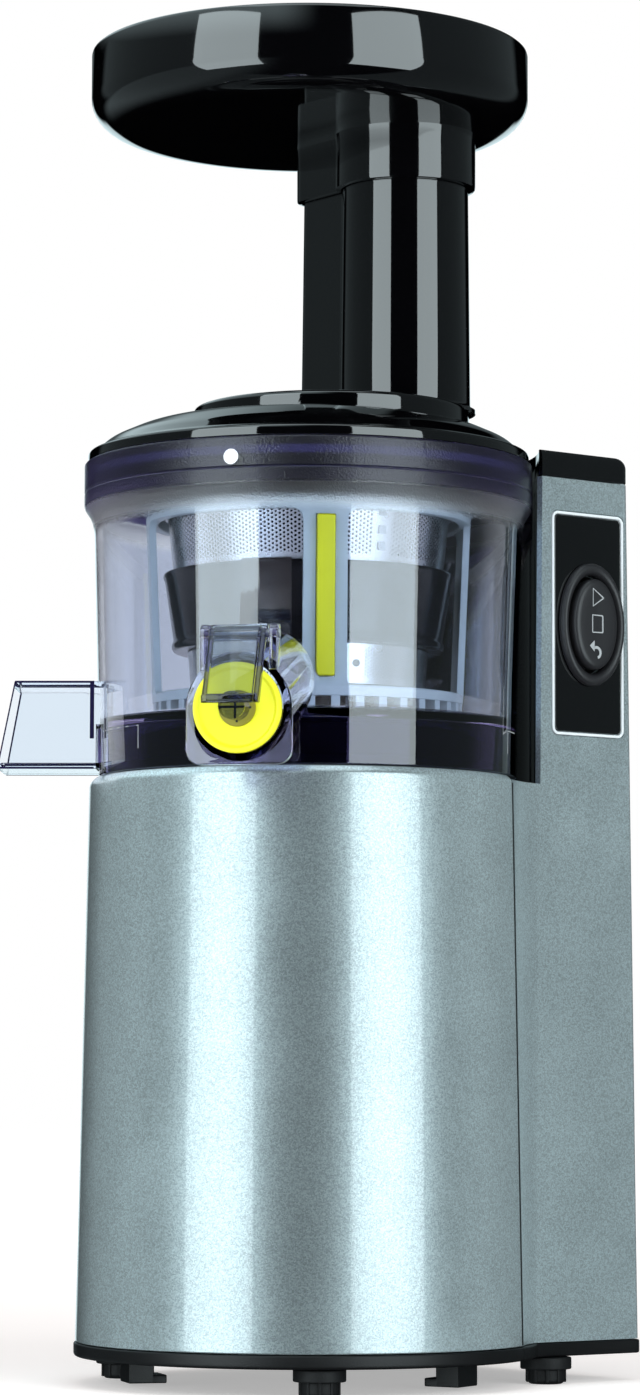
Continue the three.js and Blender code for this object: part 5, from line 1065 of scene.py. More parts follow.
class JUICER_OT_bowl(bpy.types.Operator):
    """Makes the tinted bowl with its juice spout and pulp chute"""
    bl_idname = "juicer.bowl"
    bl_label = "Bowl"

    def execute(self, context):
        s = sizes()
        skirt, rim, wall = mm(s.bowl_skirt), mm(s.bowl_rim), mm(s.bowl_wall)
        profile = [
            (skirt - wall, BOWL_BOTTOM, 0.4), (skirt, BOWL_BOTTOM, 0.6), (66.4, 217, 3), (67.8, 267, 3),
            (rim - 2.4, 270.9, 3), (rim, 274.4, 1.0), (rim, 278.4, 0.2), (rim - 0.5, 278.8, 0.2),
            (rim, 279.2, 0.2), (rim, BOWL_TOP, 0.6), (rim - 3.5, BOWL_TOP, 0.4), (rim - 3.5, 276.9, 1.5),
            (65.4, 269.4, 3), (64.0, 217, 3), (skirt - wall, BOWL_FLOOR, 0.8), (12.6, BOWL_FLOOR, 0.2),
            (12.6, BOWL_FLOOR - 2.5, 0.2), (skirt - wall, BOWL_FLOOR - 2.5, 0.4),
        ]
        bowl = solid("bowl_moulding", lathe(soften(profile, 0.5), 192))
        inside = rod(skirt - wall, BOWL_FLOOR + 0.01, BOWL_TOP, steps=192)
        tube = solid("tube", at_mouth(lying(rod(mm(s.spout_radius), -38.47, 15.6, steps=96), SPOUT_SLOPE)))
        cut_from(tube, at_mouth(block((-0.01, -40, -40), (40, 40, 40))), inside)
        self.make_chute()
        pocket = turned(block((22.5, -15, 191.0), (skirt, 15, BOWL_FLOOR - 1)), CHUTE_ANGLE)
        add_to(bowl, pocket)
        combine(bowl, tube, "UNION")
        add_to(bowl, self.flange(), *self.ears(), rod(3, 205, 210.4, *polar(32.2, 90), 0.3, 32))
        for angle in (190, 270, 350):
            add_to(bowl, rod(3, 205, 212.9, *polar(32, angle), 0.4, 32))
        cut_from(
            bowl,
            at_mouth(lying(rod(SPOUT_BORE, -38.0, 0, steps=72), SPOUT_SLOPE)),
            at_mouth(lying(rod(SPOUT_BORE, -6, 1, steps=72))),
            turned(block((24.5, -13, 193.0), (68, 13, 203.5)), CHUTE_ANGLE),
            turned(block((24.5, -13, 202.5), (40, 13, 207)), CHUTE_ANGLE),
            self.chute_bore(),
            at_mouth(shifted(across(rod(1.5, -13, 13, steps=24)), HINGE_REACH, 0, HINGE_LEVEL)),
        )
        dress(bowl, "bowl", "bowl_clear", "tinted_clear", "bowl", angle=30)
        self.make_marks(rim, skirt)
        return {"FINISHED"}

    def chute_bore(self):
        end = 1.0
        root = 67
        half = CHUTE_HALF - CHUTE_WALL
        floor, roof = CHUTE_BOTTOM + CHUTE_WALL, CHUTE_ROOF - CHUTE_WALL
        side = [(root, floor), (CHUTE_FLOOR_REACH + end, floor), (CHUTE_ROOF_REACH + end, roof), (root, roof)]
        return turned(across(prism(soften(side, 0.8), -half, half, 0.8)), CHUTE_ANGLE)

    def make_chute(self):
        """Four clear walls of the pulp chute, with dark lines where the plastic is seen on edge."""
        inner = CHUTE_HALF - CHUTE_WALL
        floor, roof = CHUTE_BOTTOM + CHUTE_WALL, CHUTE_ROOF - CHUTE_WALL
        side = soften([(CHUTE_ROOT, CHUTE_BOTTOM), (CHUTE_FLOOR_REACH, CHUTE_BOTTOM), (CHUTE_ROOF_REACH, CHUTE_ROOF),
                       (CHUTE_ROOT, CHUTE_ROOF)], 0.6)
        top = [(CHUTE_ROOT, roof), (CHUTE_ROOF_REACH + 0.4, roof), (CHUTE_ROOF_REACH, CHUTE_ROOF),
               (CHUTE_ROOT, CHUTE_ROOF)]
        bottom = [(CHUTE_ROOT, CHUTE_BOTTOM), (CHUTE_FLOOR_REACH, CHUTE_BOTTOM), (CHUTE_FLOOR_REACH - 0.4, floor),
                  (CHUTE_ROOT, floor)]
        between = inner - 0.05
        walls = (
            ("chute_side_left", side, -CHUTE_HALF, -inner, 0.25),
            ("chute_side_right", side, inner, CHUTE_HALF, 0.25),
            ("chute_roof", top, -between, between, 0),
            ("chute_floor", bottom, -between, between, 0),
        )
        for name, outline, low, high, edge in walls:
            wall = turned(across(prism(outline, low, high, edge)), CHUTE_ANGLE)
            piece(name, wall, "bowl", "chute_clear", "tinted_clear")
        lines = {
            "chute_edge_low": [(66.6, 190.95), (96.9, 190.95), (96.8, 191.6), (66.6, 191.6)],
            "chute_edge_high": [(66.6, 218.0), (91.6, 218.0), (91.5, 218.65), (66.6, 218.65)],
            "chute_lip": [(96.6, 191.2), (97.05, 191.2), (91.65, 218.4), (91.2, 218.4)],
            "chute_root": [(66.6, 200.5), (67.9, 200.5), (67.9, 218.2), (66.6, 218.2)],
        }
        half = 0.25
        for middle, side in ((0.15 - CHUTE_HALF, "left"), (CHUTE_HALF - 0.15, "right")):
            for line, outline in lines.items():
                bar = turned(across(prism(outline, middle - half, middle + half)), CHUTE_ANGLE)
                piece(f"{line}_{side}", bar, "bowl", "violet_edge", "tinted_clear")

    def flange(self):
        outline = (arc((0, 0), 16, 0, 180, 48) + arc((-11.5, -12.1), 4.5, 180, 270, 8)
                   + arc((11.5, -12.1), 4.5, 270, 360, 8))
        raised = prism(outline, -3, 0, 0.5)
        return at_mouth(mapped(raised, lambda u, v, w: (w, u, v)))

    def ears(self):
        made = []
        for side in (-1, 1):
            low, high = sorted((side * 9.2, side * 11.6))
            outline = soften([(-5.2, 11.1), (0.2, 11.1), (0.2, 25.0, 2.6), (-5.2, 25.0, 2.6)], 0.5)
            made.append(at_mouth(across(prism(outline, low, high, 0.3))))
        return made

    def make_marks(self, rim, skirt):
        """White dot on the rim and the lines that show the lock positions on the skirt."""
        spot = []
        for ring, proud in ((2.35, 0.02), (2.35, 0.16), (2.0, 0.22)):
            circle = []
            for i in range(40):
                u, v = polar(ring, 9 * i)
                circle.append((*polar(rim + proud, MARK_BEARING + math.degrees(u / rim)), 281.9 + v))
            spot.append(circle)
        piece("rim_dot", loft(spot), "bowl", "mark_white", "translucent")
        for name, angle, side, length in (("lock_mark_left", -89.0, -1, 23.8), ("lock_mark_right", 33.0, 1, 9.0)):
            bars = ((0.0, 0.3, 195.4, 202.6), (0.0, side * length, 202.3, 202.6))
            for index, (start, end, low, high) in enumerate(bars):
                sections = []
                for i in range(5):
                    turn = angle + math.degrees(mix(start, end, i / 4) / skirt)
                    near = polar(skirt + 0.02, turn)
                    far = polar(skirt + 0.22, turn)
                    sections.append([(*near, low), (*far, low), (*far, high), (*near, high)])
                piece(name + str(index), loft(sections), "bowl", "mark_grey", "tinted_clear")


class JUICER_OT_spout_cap(bpy.types.Operator):
    """Makes the clear lever of the spout cap and its yellow plug"""
    bl_idname = "juicer.spout_cap"
    bl_label = "Spout cap"

    def execute(self, context):
        half = 8.5
        rib_width = 1.6
        plate = [(HINGE_REACH, HINGE_LEVEL), (0.9, HINGE_LEVEL, 1.0), (11.0, 0.6, 0.2), (13.0, 0.6, 0.4),
                 (2.9, 23.65, 1.5), (HINGE_REACH, 25.0, 0.4)]
        lever = solid("cap_lever_moulding", self.slab(plate, rib_width + 0.1 - half, half - rib_width - 0.1))
        add_to(lever, self.bar(2.7, half))
        rib = [(HINGE_REACH, HINGE_LEVEL), (0.9, 23.65, 0.5), (12.0, 0.6), (8.8, 0.6, 0.6), (-0.2, 20.95, 0.8)]
        edges = solid("cap_lever_edges", self.slab(rib, -half, rib_width - half))
        foot = at_mouth(block((9.6, -half, 0.6), (12.6, half, 3.2), 0.6))
        add_to(edges, self.slab(rib, half - rib_width, half), foot)
        dress(edges, "spout_cap", "cap_tinted", "clear")
        add_to(lever, at_mouth(lying(rod(4, 2.2, 9.0, steps=48))))
        cut_from(lever, self.bar(1.5, 12))
        dress(lever, "spout_cap", "cap_clear", "clear", "cap_lever")
        profile = soften([(0, -4), (12, -4, 0.8), (12.9, 0.3, 0.2), (13.4, 0.3, 0.2), (13.4, 1.9, 0.5),
                          (11.9, 1.9, 0.5), (11.3, 1.1, 0.6), (0, 1.1)], 0.2)
        plug = solid("spout_plug_moulding", at_mouth(lying(lathe(profile, 96))))
        dress(plug, "spout_cap", "yellow_silicone", "yellow", "spout_plug", angle=25)
        # The hub is the plug's own silicone; its darker colour is painted shade of the sunken middle.
        hub = at_mouth(lying(rod(5.6, 0.9, 1.8, edge=0.3, steps=72)))
        piece("spout_plug_hub", hub, "spout_cap", "shaded_yellow_silicone", "yellow")
        # The black cross is painted shade in the plus-shaped groove of the hub.
        cross = solid("spout_plug_cross", at_mouth(block((1.6, -4.4, -0.35), (1.9, 4.4, 0.35), 0.1)))
        add_to(cross, at_mouth(block((1.6, -0.35, -4.4), (1.9, 0.35, 4.4), 0.1)))
        dress(cross, "spout_cap", "satin_black", "yellow")
        return {"FINISHED"}

    def slab(self, outline, low, high):
        return at_mouth(across(prism(soften(leftward(outline), 0.3), low, high, 0.3)))

    def bar(self, radius, half):
        return at_mouth(shifted(across(rod(radius, -half, half, edge=0.3, steps=40)), HINGE_REACH, 0, HINGE_LEVEL))


# Strainer, screw and brush

class JUICER_OT_strainer(bpy.types.Operator):
    """Makes the strainer: two perforated steel drums and the dark mouldings between them"""
    bl_idname = "juicer.strainer"
    bl_label = "Strainer"

    def execute(self, context):
        base = [(20.7, 213.2), (38.2, 213.2), (38.2, 215.5), (20.7, 215.5)]
        piece("strainer_foot", lathe(soften(base, 0.4)), "strainer", "smoke", "smoke", "strainer_base")
        lower = [(36.2, 215.8), (37, 215.8), (38, 228.5), (37.2, 228.5)]
        piece("strainer_drum_lower", lathe(lower), "strainer", "lower_mesh_steel", "steel_mesh",
              "strainer_mesh_lower")
        ring = [(37.2, 228.8), (42.7, 228.8, 0.9), (43.3, 230.6, 0.8), (42.6, 232.0, 0.8), (45.4, 251.0, 1.2),
                (46, 252.4, 0.6), (45.7, 253.4, 0.5), (41.9, 253.4, 0.3), (37.2, 230.6)]
        piece("strainer_ring", lathe(soften(ring, 0.5)), "strainer", "smoke", "smoke", "strainer_band")
        upper = [(41.9, 253.7), (42.7, 253.7), (44.6, 270.9), (45.8, 270.9, 0.3), (45.8, 272.3, 0.3), (43.8, 272.3)]
        piece("strainer_drum_upper", lathe(soften(upper, 0.1)), "strainer", "upper_mesh_steel", "steel_mesh",
              "strainer_mesh_upper")
        for index, level in enumerate((258.4, 263.5, 269.0)):
            reach = 43.2 + 0.09 * (level - 256)
            tab = block((reach, -1.25, level - 1.25), (reach + 0.3, 1.25, level + 1.25))
            piece(f"strainer_tab_{index}", turned(tab, MESH_SEAM_BEARING), "strainer", "mark_grey", "steel_mesh")
        stud = shifted(lying(rod(1.2, 0, 0.5, edge=0.15, steps=32)), 37.4, 0, 222.4)
        piece("strainer_stud", turned(stud, STUD_BEARING), "strainer", "smoke", "steel_mesh")
        return {"FINISHED"}


class JUICER_OT_screw(bpy.types.Operator):
    """Makes the squeezing screw with its two flights"""
    bl_idname = "juicer.screw"
    bl_label = "Squeezing screw"

    def execute(self, context):
        core = [(0, 209.1), (16.2, 209.1), (16.2, 210.8), (20.0, 210.8), (20.0, 215.8, 0.6), (29, 216.1, 1.0),
                (17, 264.9, 3.0), (6, 266.9, 2.0), (3, 266.9), (3, 284.9, 0.6), (0, 284.9)]
        screw = solid("screw_core", lathe(soften(core, 0.4), 120))
        add_to(screw, turned(prism(gear_outline(16, 2.3), GEAR_LEVEL, 210.1), 90))
        for start in (0, 180):
            add_to(screw, self.flight(start))
        cut_from(screw, prism(arc((0, 0), 6.8, 0, 300, 5), GEAR_LEVEL - 1, 225.8))
        dress(screw, "auger", "smoke", "smoke", "screw_auger", angle=35)
        return {"FINISHED"}

    def flight(self, start):
        sections = []
        steps = 90
        for i in range(steps + 1):
            share = i / steps
            angle = start + 360 * 1.15 * share
            level = mix(219.5, 260.9, share)
            outer = mix(34.7, 41, share)
            core = mix(29, 17, min(max((level - 216.1) / 52, 0), 1)) - 3.4
            sections.append([(*polar(core, angle), level - 3.4), (*polar(outer - 0.8, angle), level - 1.6),
                             (*polar(outer, angle), level - 0.8), (*polar(outer, angle), level + 0.8),
                             (*polar(outer - 0.8, angle), level + 1.6), (*polar(core, angle), level + 3.4)])
        return loft(sections)


def gear_outline(teeth, module, width=0.37, tip=0.6, addendum=0.7, dedendum=0.95):
    pitch = module * teeth / 2
    step = 360 / teeth
    half = step * width / 2
    points = []
    for i in range(teeth):
        middle = i * step
        points.append(polar(pitch - module * dedendum, middle - half * (2 - tip)))
        points.append(polar(pitch + module * addendum, middle - half * tip))
        points.append(polar(pitch + module * addendum, middle + half * tip))
        points.append(polar(pitch - module * dedendum, middle + half * (2 - tip)))
    return points


def post_outer(level):
    return mix(49.0, 51.6, (level - 210.8) / (273.3 - 210.8))


class JUICER_OT_brush(bpy.types.Operator):
    """Makes the turning brush frame and its two yellow blades"""
    bl_idname = "juicer.brush"
    bl_label = "Brush"

    def execute(self, context):
        lower = [(44.39, 210.8), (49, 210.8), (49, 214.4, 1.2), (44.39, 214.4)]
        frame_part = solid("brush_cage", lathe(soften(lower, 0.3)))
        upper = [(47.6, 268.9), (51.42, 268.9), (51.6, 273.3), (47.6, 273.3)]
        add_to(frame_part, lathe(soften(upper, 0.5)))
        for i in range(4):
            add_to(frame_part, turned(self.post(), BLADE_BEARINGS["brush_blade_front"] + 90 * i))
        for i in range(40):
            add_to(frame_part, turned(self.tooth(), 90 + 9 * i))
        for turn in BLADE_BEARINGS.values():
            cut_from(frame_part, turned(self.blade(6.1, 216.6, 266.7, 2.3, 4.6, 0), turn))
        dress(frame_part, "brush", "translucent", "translucent", "brush_frame")
        for name, turn in BLADE_BEARINGS.items():
            blade = turned(self.blade(5.5, 216.9, 266.4, 2.3, 2.1, 0.5), turn)
            piece(name + "_silicone", blade, "brush", "yellow_silicone", "yellow", name)
        return {"FINISHED"}

    def post(self):
        """An upright that leans with the cage and widens in curves where it meets the rings."""
        foot, head = 216.4, 264.9
        foot_round, head_round = 3.5, 4.0
        levels = [212.6 + 0.4 * i for i in range(8)] + [216 + 2.3 * i for i in range(22)]
        levels += [266.4 + 0.45 * i for i in range(11)]
        sections = []
        for level in levels:
            half = 6.75
            if level < foot:
                drop = min(foot - level, foot_round)
                half += foot_round - math.sqrt(foot_round ** 2 - drop ** 2) if level > 212.9 else foot_round
            if level > head:
                rise = min(level - head, head_round)
                half += head_round - math.sqrt(head_round ** 2 - rise ** 2)
            outer = post_outer(level)
            ring = []
            for radius, start in ((outer, -half), (outer - 2.1, half)):
                for k in range(9):
                    y = mix(start, -start, k / 8)
                    ring.append((math.sqrt(radius ** 2 - y * y), y, level))
            sections.append(ring)
        return loft(sections)

    def tooth(self):
        half = 9 * 0.37 / 2
        outline = [polar(44.4, -half * 0.6), polar(48.7, -half), polar(48.7, half), polar(44.4, half * 0.6)]
        return prism(soften(outline, 0.3), GEAR_LEVEL, 211.1)

    def blade(self, width, bottom, top, proud, depth, edge):
        outline = [(-depth, -width / 2), (proud, -width / 2, edge), (proud, width / 2, edge), (-depth, width / 2)]
        outline = soften(outline, edge * 0.4) if edge else outline
        sections = []
        levels = [bottom, bottom + 0.4, top - 0.4, top] if edge else [bottom, top]
        for i, level in enumerate(levels):
            outer = post_outer(level)
            shape = inset(outline, 0.3) if edge and i in (0, 3) else [p[:2] for p in outline]
            sections.append([(outer + x, y, level) for x, y in shape])
        return loft(sections)


# Lid and tray

def lobed_outline(offset):
    """Feed tube outline: a round lobe, and a slot with a flat front beside it, joined by a hollow fillet."""
    main, back, front = Vector((14, 28)), Vector((-10.2, 29)), Vector((-19.5, 18.7))
    flat = 14
    radius, back_radius, front_radius, fillet_radius = 20.0, 14.0, 4.7, 3.0
    apart = back - main
    lean = math.atan2(apart.y, apart.x) - math.acos((radius - back_radius) / apart.length)
    touching = math.degrees(lean)
    to_fillet = radius + fillet_radius
    drop = main.y - (flat - fillet_radius)
    fillet = Vector((main.x - math.sqrt(to_fillet ** 2 - drop ** 2), flat - fillet_radius))
    meeting = math.degrees(math.asin(drop / to_fillet))
    return (arc(main, radius + offset, meeting - 180, touching, 44)
            + arc(back, back_radius + offset, touching, 180, 16)
            + arc(front, front_radius + offset, 180, 270, 16)
            + arc(fillet, fillet_radius - offset, 90, meeting, 8)[:-1])


class JUICER_OT_lid(bpy.types.Operator):
    """Makes the black lid with its lobed feed tube"""
    bl_idname = "juicer.lid"
    bl_label = "Lid"

    def execute(self, context):
        edge = mm(sizes().lid_edge)
        dome = [(0, 278.0), (66.6, 278.0), (66.6, LID_BOTTOM, 0.2), (edge, LID_BOTTOM, 0.5),
                (edge, LID_SHOULDER, 0.9),
                (67.6, 292.2, 0.8), (63.7, 295.6, 6), (53.6, 300.1, 6), (44, 302.0, 8), (0, 302.0)]
        lid = solid("lid_moulding", lathe(soften(dome, 0.4, 6), 192))
        platform = soften([(0, 292), (44, 292), (44, PLATFORM_TOP, 1.6), (0, PLATFORM_TOP)], 0.4, 6)
        add_to(lid, shifted(lathe(platform, 160), 0, 9, 0))
        add_to(lid, self.tube())
        hollow = [(0, 277), (64.1, 277), (64.1, 289), (61.0, 293.0), (52, 297.6), (41.5, 299.5), (0, 299.5)]
        cut_from(lid, lathe(soften(hollow, 1.0), 120))
        cut_from(lid, shifted(rod(41.5, 292, PLATFORM_TOP - 2.5, steps=120), 0, 9, 0))
        funnel = [(40.6, 271.1), (43.1, 271.1), (43.1, 285), (54.5, 298.9), (52, 298.9), (40.6, 285)]
        add_to(lid, lathe(soften(funnel, 0.3), 120))
        add_to(lid, rod(7, 273.3, PLATFORM_TOP - 1.2, edge=0.4))
        cut_from(lid, self.bore())
        cut_from(lid, rod(3.35, 272, 285.2), lathe([(65.0, 282.9), (67.6, 282.9), (67.6, 285.9), (65.0, 285.9)], 120))
        dress(lid, "lid", "gloss_black", "black_gloss", "lid", angle=35)
        return {"FINISHED"}

    def tube(self):
        """Tube with a slight draft, a soft root and a rounded lip."""
        draft, root = 0.9, 1.6
        sections = [at_level(lobed_outline(draft + root), PLATFORM_TOP - 1.2)]
        for i in range(7):
            turn = math.pi / 2 * i / 6
            outline = lobed_outline(draft + root * (1 - math.sin(turn)))
            sections.append(at_level(outline, PLATFORM_TOP + root * (1 - math.cos(turn))))
        for i in range(1, 9):
            outline = lobed_outline(draft * (1 - i / 8))
            sections.append(at_level(outline, mix(PLATFORM_TOP + root, TUBE_TOP - 0.6, i / 8)))
        sections.append(at_level(lobed_outline(-0.2), TUBE_TOP - 0.15))
        sections.append(at_level(lobed_outline(-0.6), TUBE_TOP))
        return loft(sections)

    def bore(self):
        return loft([at_level(lobed_outline(-1.6), LID_SHOULDER), at_level(lobed_outline(-2.5), TUBE_TOP - 0.6),
                     at_level(lobed_outline(-2.1), TUBE_TOP + 1)])


class JUICER_OT_tray(bpy.types.Operator):
    """Makes the food tray and the collar that slips over the feed tube"""
    bl_idname = "juicer.tray"
    bl_label = "Food tray"

    def execute(self, context):
        s = sizes()
        radius, top = mm(s.tray_radius), TRAY_BOTTOM + mm(s.tray_height)
        floor, bend, wall = 57.5, 10, 2.5
        turns = [math.pi / 2 * i / 12 for i in range(13)]
        outside = [(mix(floor, radius, math.sin(t)), TRAY_BOTTOM + bend * (1 - math.cos(t))) for t in turns]
        inside = [(mix(floor, radius - wall, math.sin(t)), TRAY_BOTTOM + wall + bend * (1 - math.cos(t)))
                  for t in reversed(turns)]
        lip = [(radius, top - 1.2), (radius - 0.2, top - 0.5), (radius - 0.7, top - 0.1), (radius - 1.25, top),
               (radius - 1.8, top - 0.1), (radius - 2.3, top - 0.5), (radius - wall, top - 1.2)]
        dish = [(0, TRAY_BOTTOM)] + outside + lip + inside + [(0, TRAY_BOTTOM + wall)]
        tray = solid("tray_moulding", lathe(dish, 192))
        collar = ((1.9, 378.8), (2.35, 379.0), (2.5, 379.5), (2.5, 391), (2.55, 394), (2.7, 396), (2.9, 397.3))
        add_to(tray, loft([at_level(lobed_outline(offset), level) for offset, level in collar]))
        cut_from(tray, prism(lobed_outline(0.7), 377, TRAY_BOTTOM))
        hole = loft([at_level(lobed_outline(-2.5), 395), at_level(lobed_outline(-2.5), 397.8),
                     at_level(lobed_outline(-1.9), 398.6), at_level(lobed_outline(-0.4), 399.0)])
        cut_from(tray, hole)
        dress(tray, "tray", "gloss_black", "black_gloss", "feed_tray", angle=40)
        return {"FINISHED"}


# Pieces that keep their solid

WORKS = {
    "ground_steel": ("rocker_pin", "motor_bearing_lower", "motor_bearing_upper", "output_bearing_lower",
                     "output_bearing_upper", "gearbox_screw_1", "gearbox_screw_2", "gearbox_screw_3",
                     "gearbox_screw_4", "motor_shaft", "counter_pinion", "drive_shaft", "cap_pin"),
    "satin_black": ("switch_housing", "cooling_fan"),
    "foot_rubber": ("cord_inlet",),
    "circuit_board": ("control_board",),
    "sleeve_blue": ("board_capacitor",),
    "cast_alloy": ("motor_can", "motor_end_bell", "gearbox_housing", "gearbox_cover"),
    "stacked_sheets": ("stator_core", "rotor_core"),
    "wound_wire": ("stator_winding",),
    "sintered_bronze": ("counter_bush_lower", "counter_bush_upper"),
    "gear_nylon": ("counter_gear", "output_gear"),
    "pale_silicone": ("bowl_seal", "lid_seal"),
    "translucent": ("brush_idler_gear",),
}


class JUICER_OT_works(bpy.types.Operator):
    """Gives the motor, gears, seals and electrics their finishes"""
    bl_idname = "juicer.works"
    bl_label = "Inner works"

    def execute(self, context):
        for finish, names in WORKS.items():
            for name in names:
                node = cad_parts[name]
                node.data.materials.clear()
                node.data.materials.append(FINISHES[finish])
        return {"FINISHED"}


# Stage

def toward(tree, parts, bearing):
    """How far a direction or a place lies towards a bearing, level with the ground."""
    x, y = polar(1, bearing)
    return plus(tree, times(tree, parts["X"], x), times(tree, parts["Y"], y))


def aim(obj, target):
    obj.rotation_euler = (Vector(target) - obj.location).to_track_quat("-Z", "Y").to_euler()


def softbox(name, bearing, width, strength, distance=WINDOW_DISTANCE, level=WINDOW_LEVEL, height=WINDOW_HEIGHT):
    data = bpy.data.lights.new(name, "AREA")
    data.shape = "RECTANGLE"
    data.size = width
    data.size_y = height
    data.energy = strength
    data.color = WINDOW_COLOUR
    lamp = bpy.data.objects.new(name, data)
    x, y = polar(distance, bearing)
    lamp.location = (AXIS.x + x, AXIS.y + y, level)
    aim(lamp, (AXIS.x, AXIS.y, level))
    bpy.context.scene.collection.objects.link(lamp)
    return lamp


class JUICER_OT_stage(bpy.types.Operator):
    """Makes the pale floor, the soft light and the camera"""
    bl_idname = "juicer.stage"
    bl_label = "Stage"

    def execute(self, context):
        self.make_floor()
        self.make_world(context)
        softbox("window_left", -80.5, 0.82, 15.8)
        softbox("window_right", 3.5, 0.88, 17)
        overhead = softbox("overhead", -37, 1.2, 6, 0.5, 1.6, 1.2)
        aim(overhead, (AXIS.x, AXIS.y, 0.2))
        self.make_camera(context)
        context.scene.view_settings.view_transform = "Standard"
        return {"FINISHED"}

    def make_floor(self):
        mesh = bpy.data.meshes.new("floor")
        half = FLOOR_HALF
        mesh.from_pydata([(-half, -half, 0), (half, -half, 0), (half, half, 0), (-half, half, 0)], [], [(0, 1, 2, 3)])
        floor = bpy.data.objects.new("floor", mesh)
        bpy.context.scene.collection.objects.link(floor)
        material = bpy.data.materials.new("pale_floor")
        material.use_nodes = True
        tree = material.node_tree
        tree.nodes.remove(tree.nodes["Principled BSDF"])
        rays = put(tree, "ShaderNodeLightPath")
        matt = put(tree, "ShaderNodeBsdfDiffuse", {"Color": (0.92, 0.82, 0.79, 1)})
        spot = place_in(tree)
        level = band(tree, length_of(tree, spot), 0.15, 1.3, 0.40, 0.8)
        behind = band(tree, toward(tree, parts_of(tree, spot), AWAY_BEARING), -0.06, 0.08)
        seen = times(tree, rays.outputs["Is Transmission Ray"], behind)
        seen = larger(tree, rays.outputs["Is Camera Ray"], seen)
        glow = put(tree, "ShaderNodeEmission", {"Color": (1, 1, 1, 1), "Strength": times(tree, seen, level)})
        both = put(tree, "ShaderNodeAddShader", {0: matt.outputs[0], 1: glow.outputs[0]})
        feed(tree, tree.nodes["Material Output"].inputs["Surface"], both.outputs[0])
        mesh.materials.append(material)
        floor.visible_glossy = False
        floor.visible_shadow = False

    def make_world(self, context):
        world = bpy.data.worlds.new("studio")
        context.scene.world = world
        world.use_nodes = True
        tree = world.node_tree
        tree.nodes.clear()
        rays = put(tree, "ShaderNodeLightPath")
        direction = put(tree, "ShaderNodeTexCoord").outputs["Generated"]
        parts = parts_of(tree, direction)
        up = parts["Z"]
        level_part = math_node(tree, "SQRT", minus(tree, 1.0001, times(tree, up, up)))
        behind = math_node(tree, "DIVIDE", toward(tree, parts, AWAY_BEARING), level_part)
        to_left = toward(tree, parts, LEFT_BEARING)
        side_walls = times(tree, band(tree, behind, -0.56, -0.44), band(tree, behind, 0.7, 0.8, 1.0, 0.0))
        far_wall = times(tree, band(tree, behind, 0.955, 0.98), band(tree, up, -0.14, -0.1))
        far_wall = times(tree, far_wall, band(tree, up, 0.16, 0.21, 1.0, 0.1))
        skylight = times(tree, band(tree, up, 0.28, 0.5), band(tree, to_left, -0.1, 0.3))
        table = times(tree, band(tree, up, -0.3, -0.15, 0.22, 0.0), band(tree, to_left, 0.2, 0.6))
        mirrored = times(tree, side_walls, 0.11)
        for patch in (far_wall, table, skylight):
            mirrored = larger(tree, mirrored, patch)
        mirror = rays.outputs["Is Glossy Ray"]
        through = rays.outputs["Is Transmission Ray"]
        lit = times(tree, minus(tree, 1.0, mirror), 0.38)
        level = plus(tree, times(tree, mirror, mirrored), lit)
        white_wall = larger(tree, band(tree, behind, 0.2, 0.6), 0.04)
        level = plus(tree, times(tree, through, white_wall), times(tree, minus(tree, 1.0, through), level))
        level = larger(tree, rays.outputs["Is Camera Ray"], level)
        mirror_only = times(tree, mirror, minus(tree, 1.0, through))
        tint = blend(tree, mirror_only, (1, 1, 1, 1), (0.76, 0.95, 1.0, 1))
        glow = put(tree, "ShaderNodeBackground", {"Strength": level, "Color": tint})
        put(tree, "ShaderNodeOutputWorld", {0: glow.outputs[0]})

    def make_camera(self, context):
        turn = math.radians(VIEW_TURN)
        yaw = math.atan(SIDE_PIXELS / FOCAL_PIXELS)
        pitch = math.radians(CAMERA_PITCH)
        roll = math.radians(CAMERA_ROLL)
        forward = Vector((-math.sin(turn), math.cos(turn), 0))
        right = Vector((math.cos(turn), math.sin(turn), 0))
        level_ahead = forward * math.cos(yaw) + right * math.sin(yaw)
        level_right = right * math.cos(yaw) - forward * math.sin(yaw)
        up = Vector((0, 0, 1))
        ahead = level_ahead * math.cos(pitch) + up * math.sin(pitch)
        above = up * math.cos(pitch) - level_ahead * math.sin(pitch)
        side = level_right * math.cos(roll) + above * math.sin(roll)
        top = above * math.cos(roll) - level_right * math.sin(roll)
        data = bpy.data.cameras.new("camera")
        data.lens = SENSOR * FOCAL_PIXELS / IMAGE_PIXELS
        data.sensor_width = SENSOR
        data.clip_start = 0.05
        camera = bpy.data.objects.new("camera", data)
        place = Matrix((side, top, -ahead)).transposed().to_4x4()
        place.translation = Vector((AXIS.x, AXIS.y, CAMERA_LEVEL)) - forward * CAMERA_REACH
        camera.matrix_world = place
        context.scene.collection.objects.link(camera)
        context.scene.camera = camera


STEPS = (JUICER_OT_finishes, JUICER_OT_stage, JUICER_OT_base, JUICER_OT_body, JUICER_OT_column, JUICER_OT_deck,
         JUICER_OT_panel, JUICER_OT_rocker, JUICER_OT_bowl, JUICER_OT_spout_cap, JUICER_OT_strainer,
         JUICER_OT_screw, JUICER_OT_brush, JUICER_OT_lid, JUICER_OT_tray, JUICER_OT_works)


class JUICER_PT_panel(bpy.types.Panel):
    """Lists the juicer's pieces"""
    bl_label = "Juicer"
    bl_idname = "JUICER_PT_panel"
    bl_space_type = "VIEW_3D"
    bl_region_type = "UI"
    bl_category = "Juicer"

    def draw(self, context):
        column = self.layout.column()
        for group in (context.scene.juicer_sizes, context.scene.juicer_colours):
            for name in group.__annotations__:
                column.prop(group, name)
        for step in STEPS:
            column.operator(step.bl_idname)


CLASSES = (JuicerSizes, JuicerColours, *STEPS, JUICER_PT_panel)


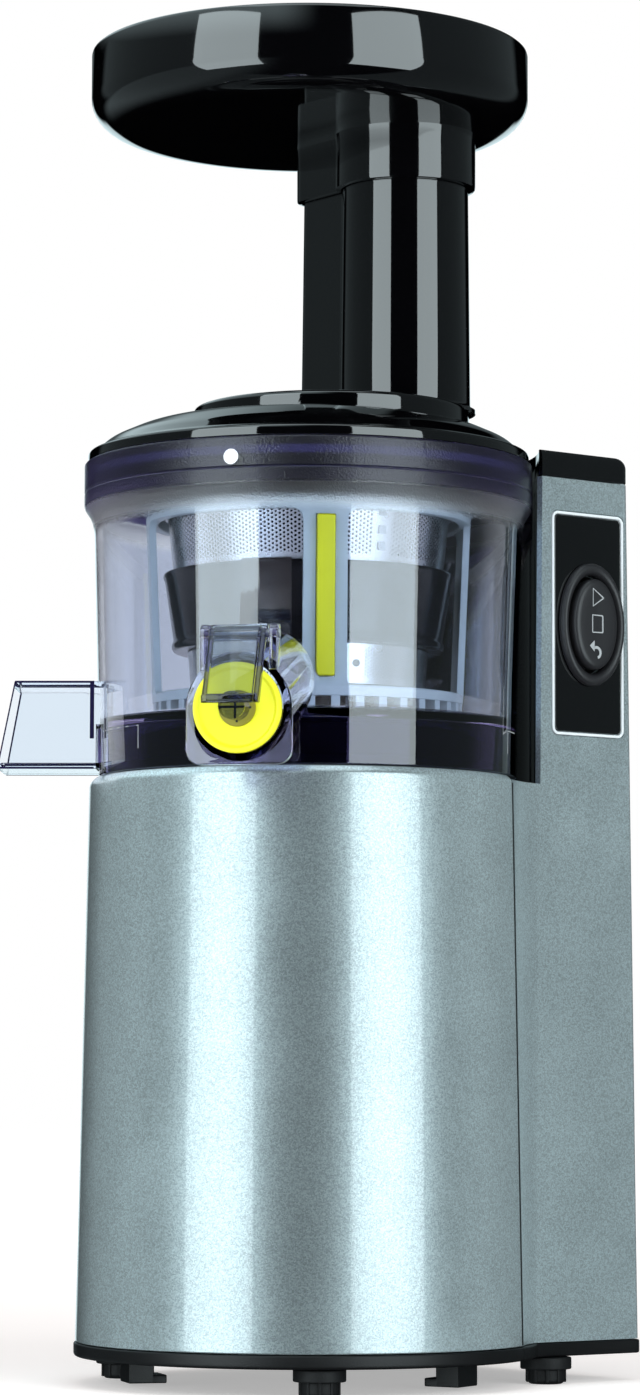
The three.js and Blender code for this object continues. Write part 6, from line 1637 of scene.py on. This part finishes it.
def register():
    for cls in CLASSES:
        bpy.utils.register_class(cls)
    bpy.types.Scene.juicer_sizes = PointerProperty(type=JuicerSizes)
    bpy.types.Scene.juicer_colours = PointerProperty(type=JuicerColours)


def unregister():
    del bpy.types.Scene.juicer_colours
    del bpy.types.Scene.juicer_sizes
    for cls in reversed(CLASSES):
        bpy.utils.unregister_class(cls)


def main():
    register()
    bpy.ops.juicer.finishes()
    bpy.ops.juicer.stage()
    bpy.ops.juicer.base()
    bpy.ops.juicer.body()
    bpy.ops.juicer.column()
    bpy.ops.juicer.deck()
    bpy.ops.juicer.panel()
    bpy.ops.juicer.rocker()
    bpy.ops.juicer.bowl()
    bpy.ops.juicer.spout_cap()
    bpy.ops.juicer.strainer()
    bpy.ops.juicer.screw()
    bpy.ops.juicer.brush()
    bpy.ops.juicer.lid()
    bpy.ops.juicer.tray()
    bpy.ops.juicer.works()
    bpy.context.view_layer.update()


if __name__ == "__main__":
    main()
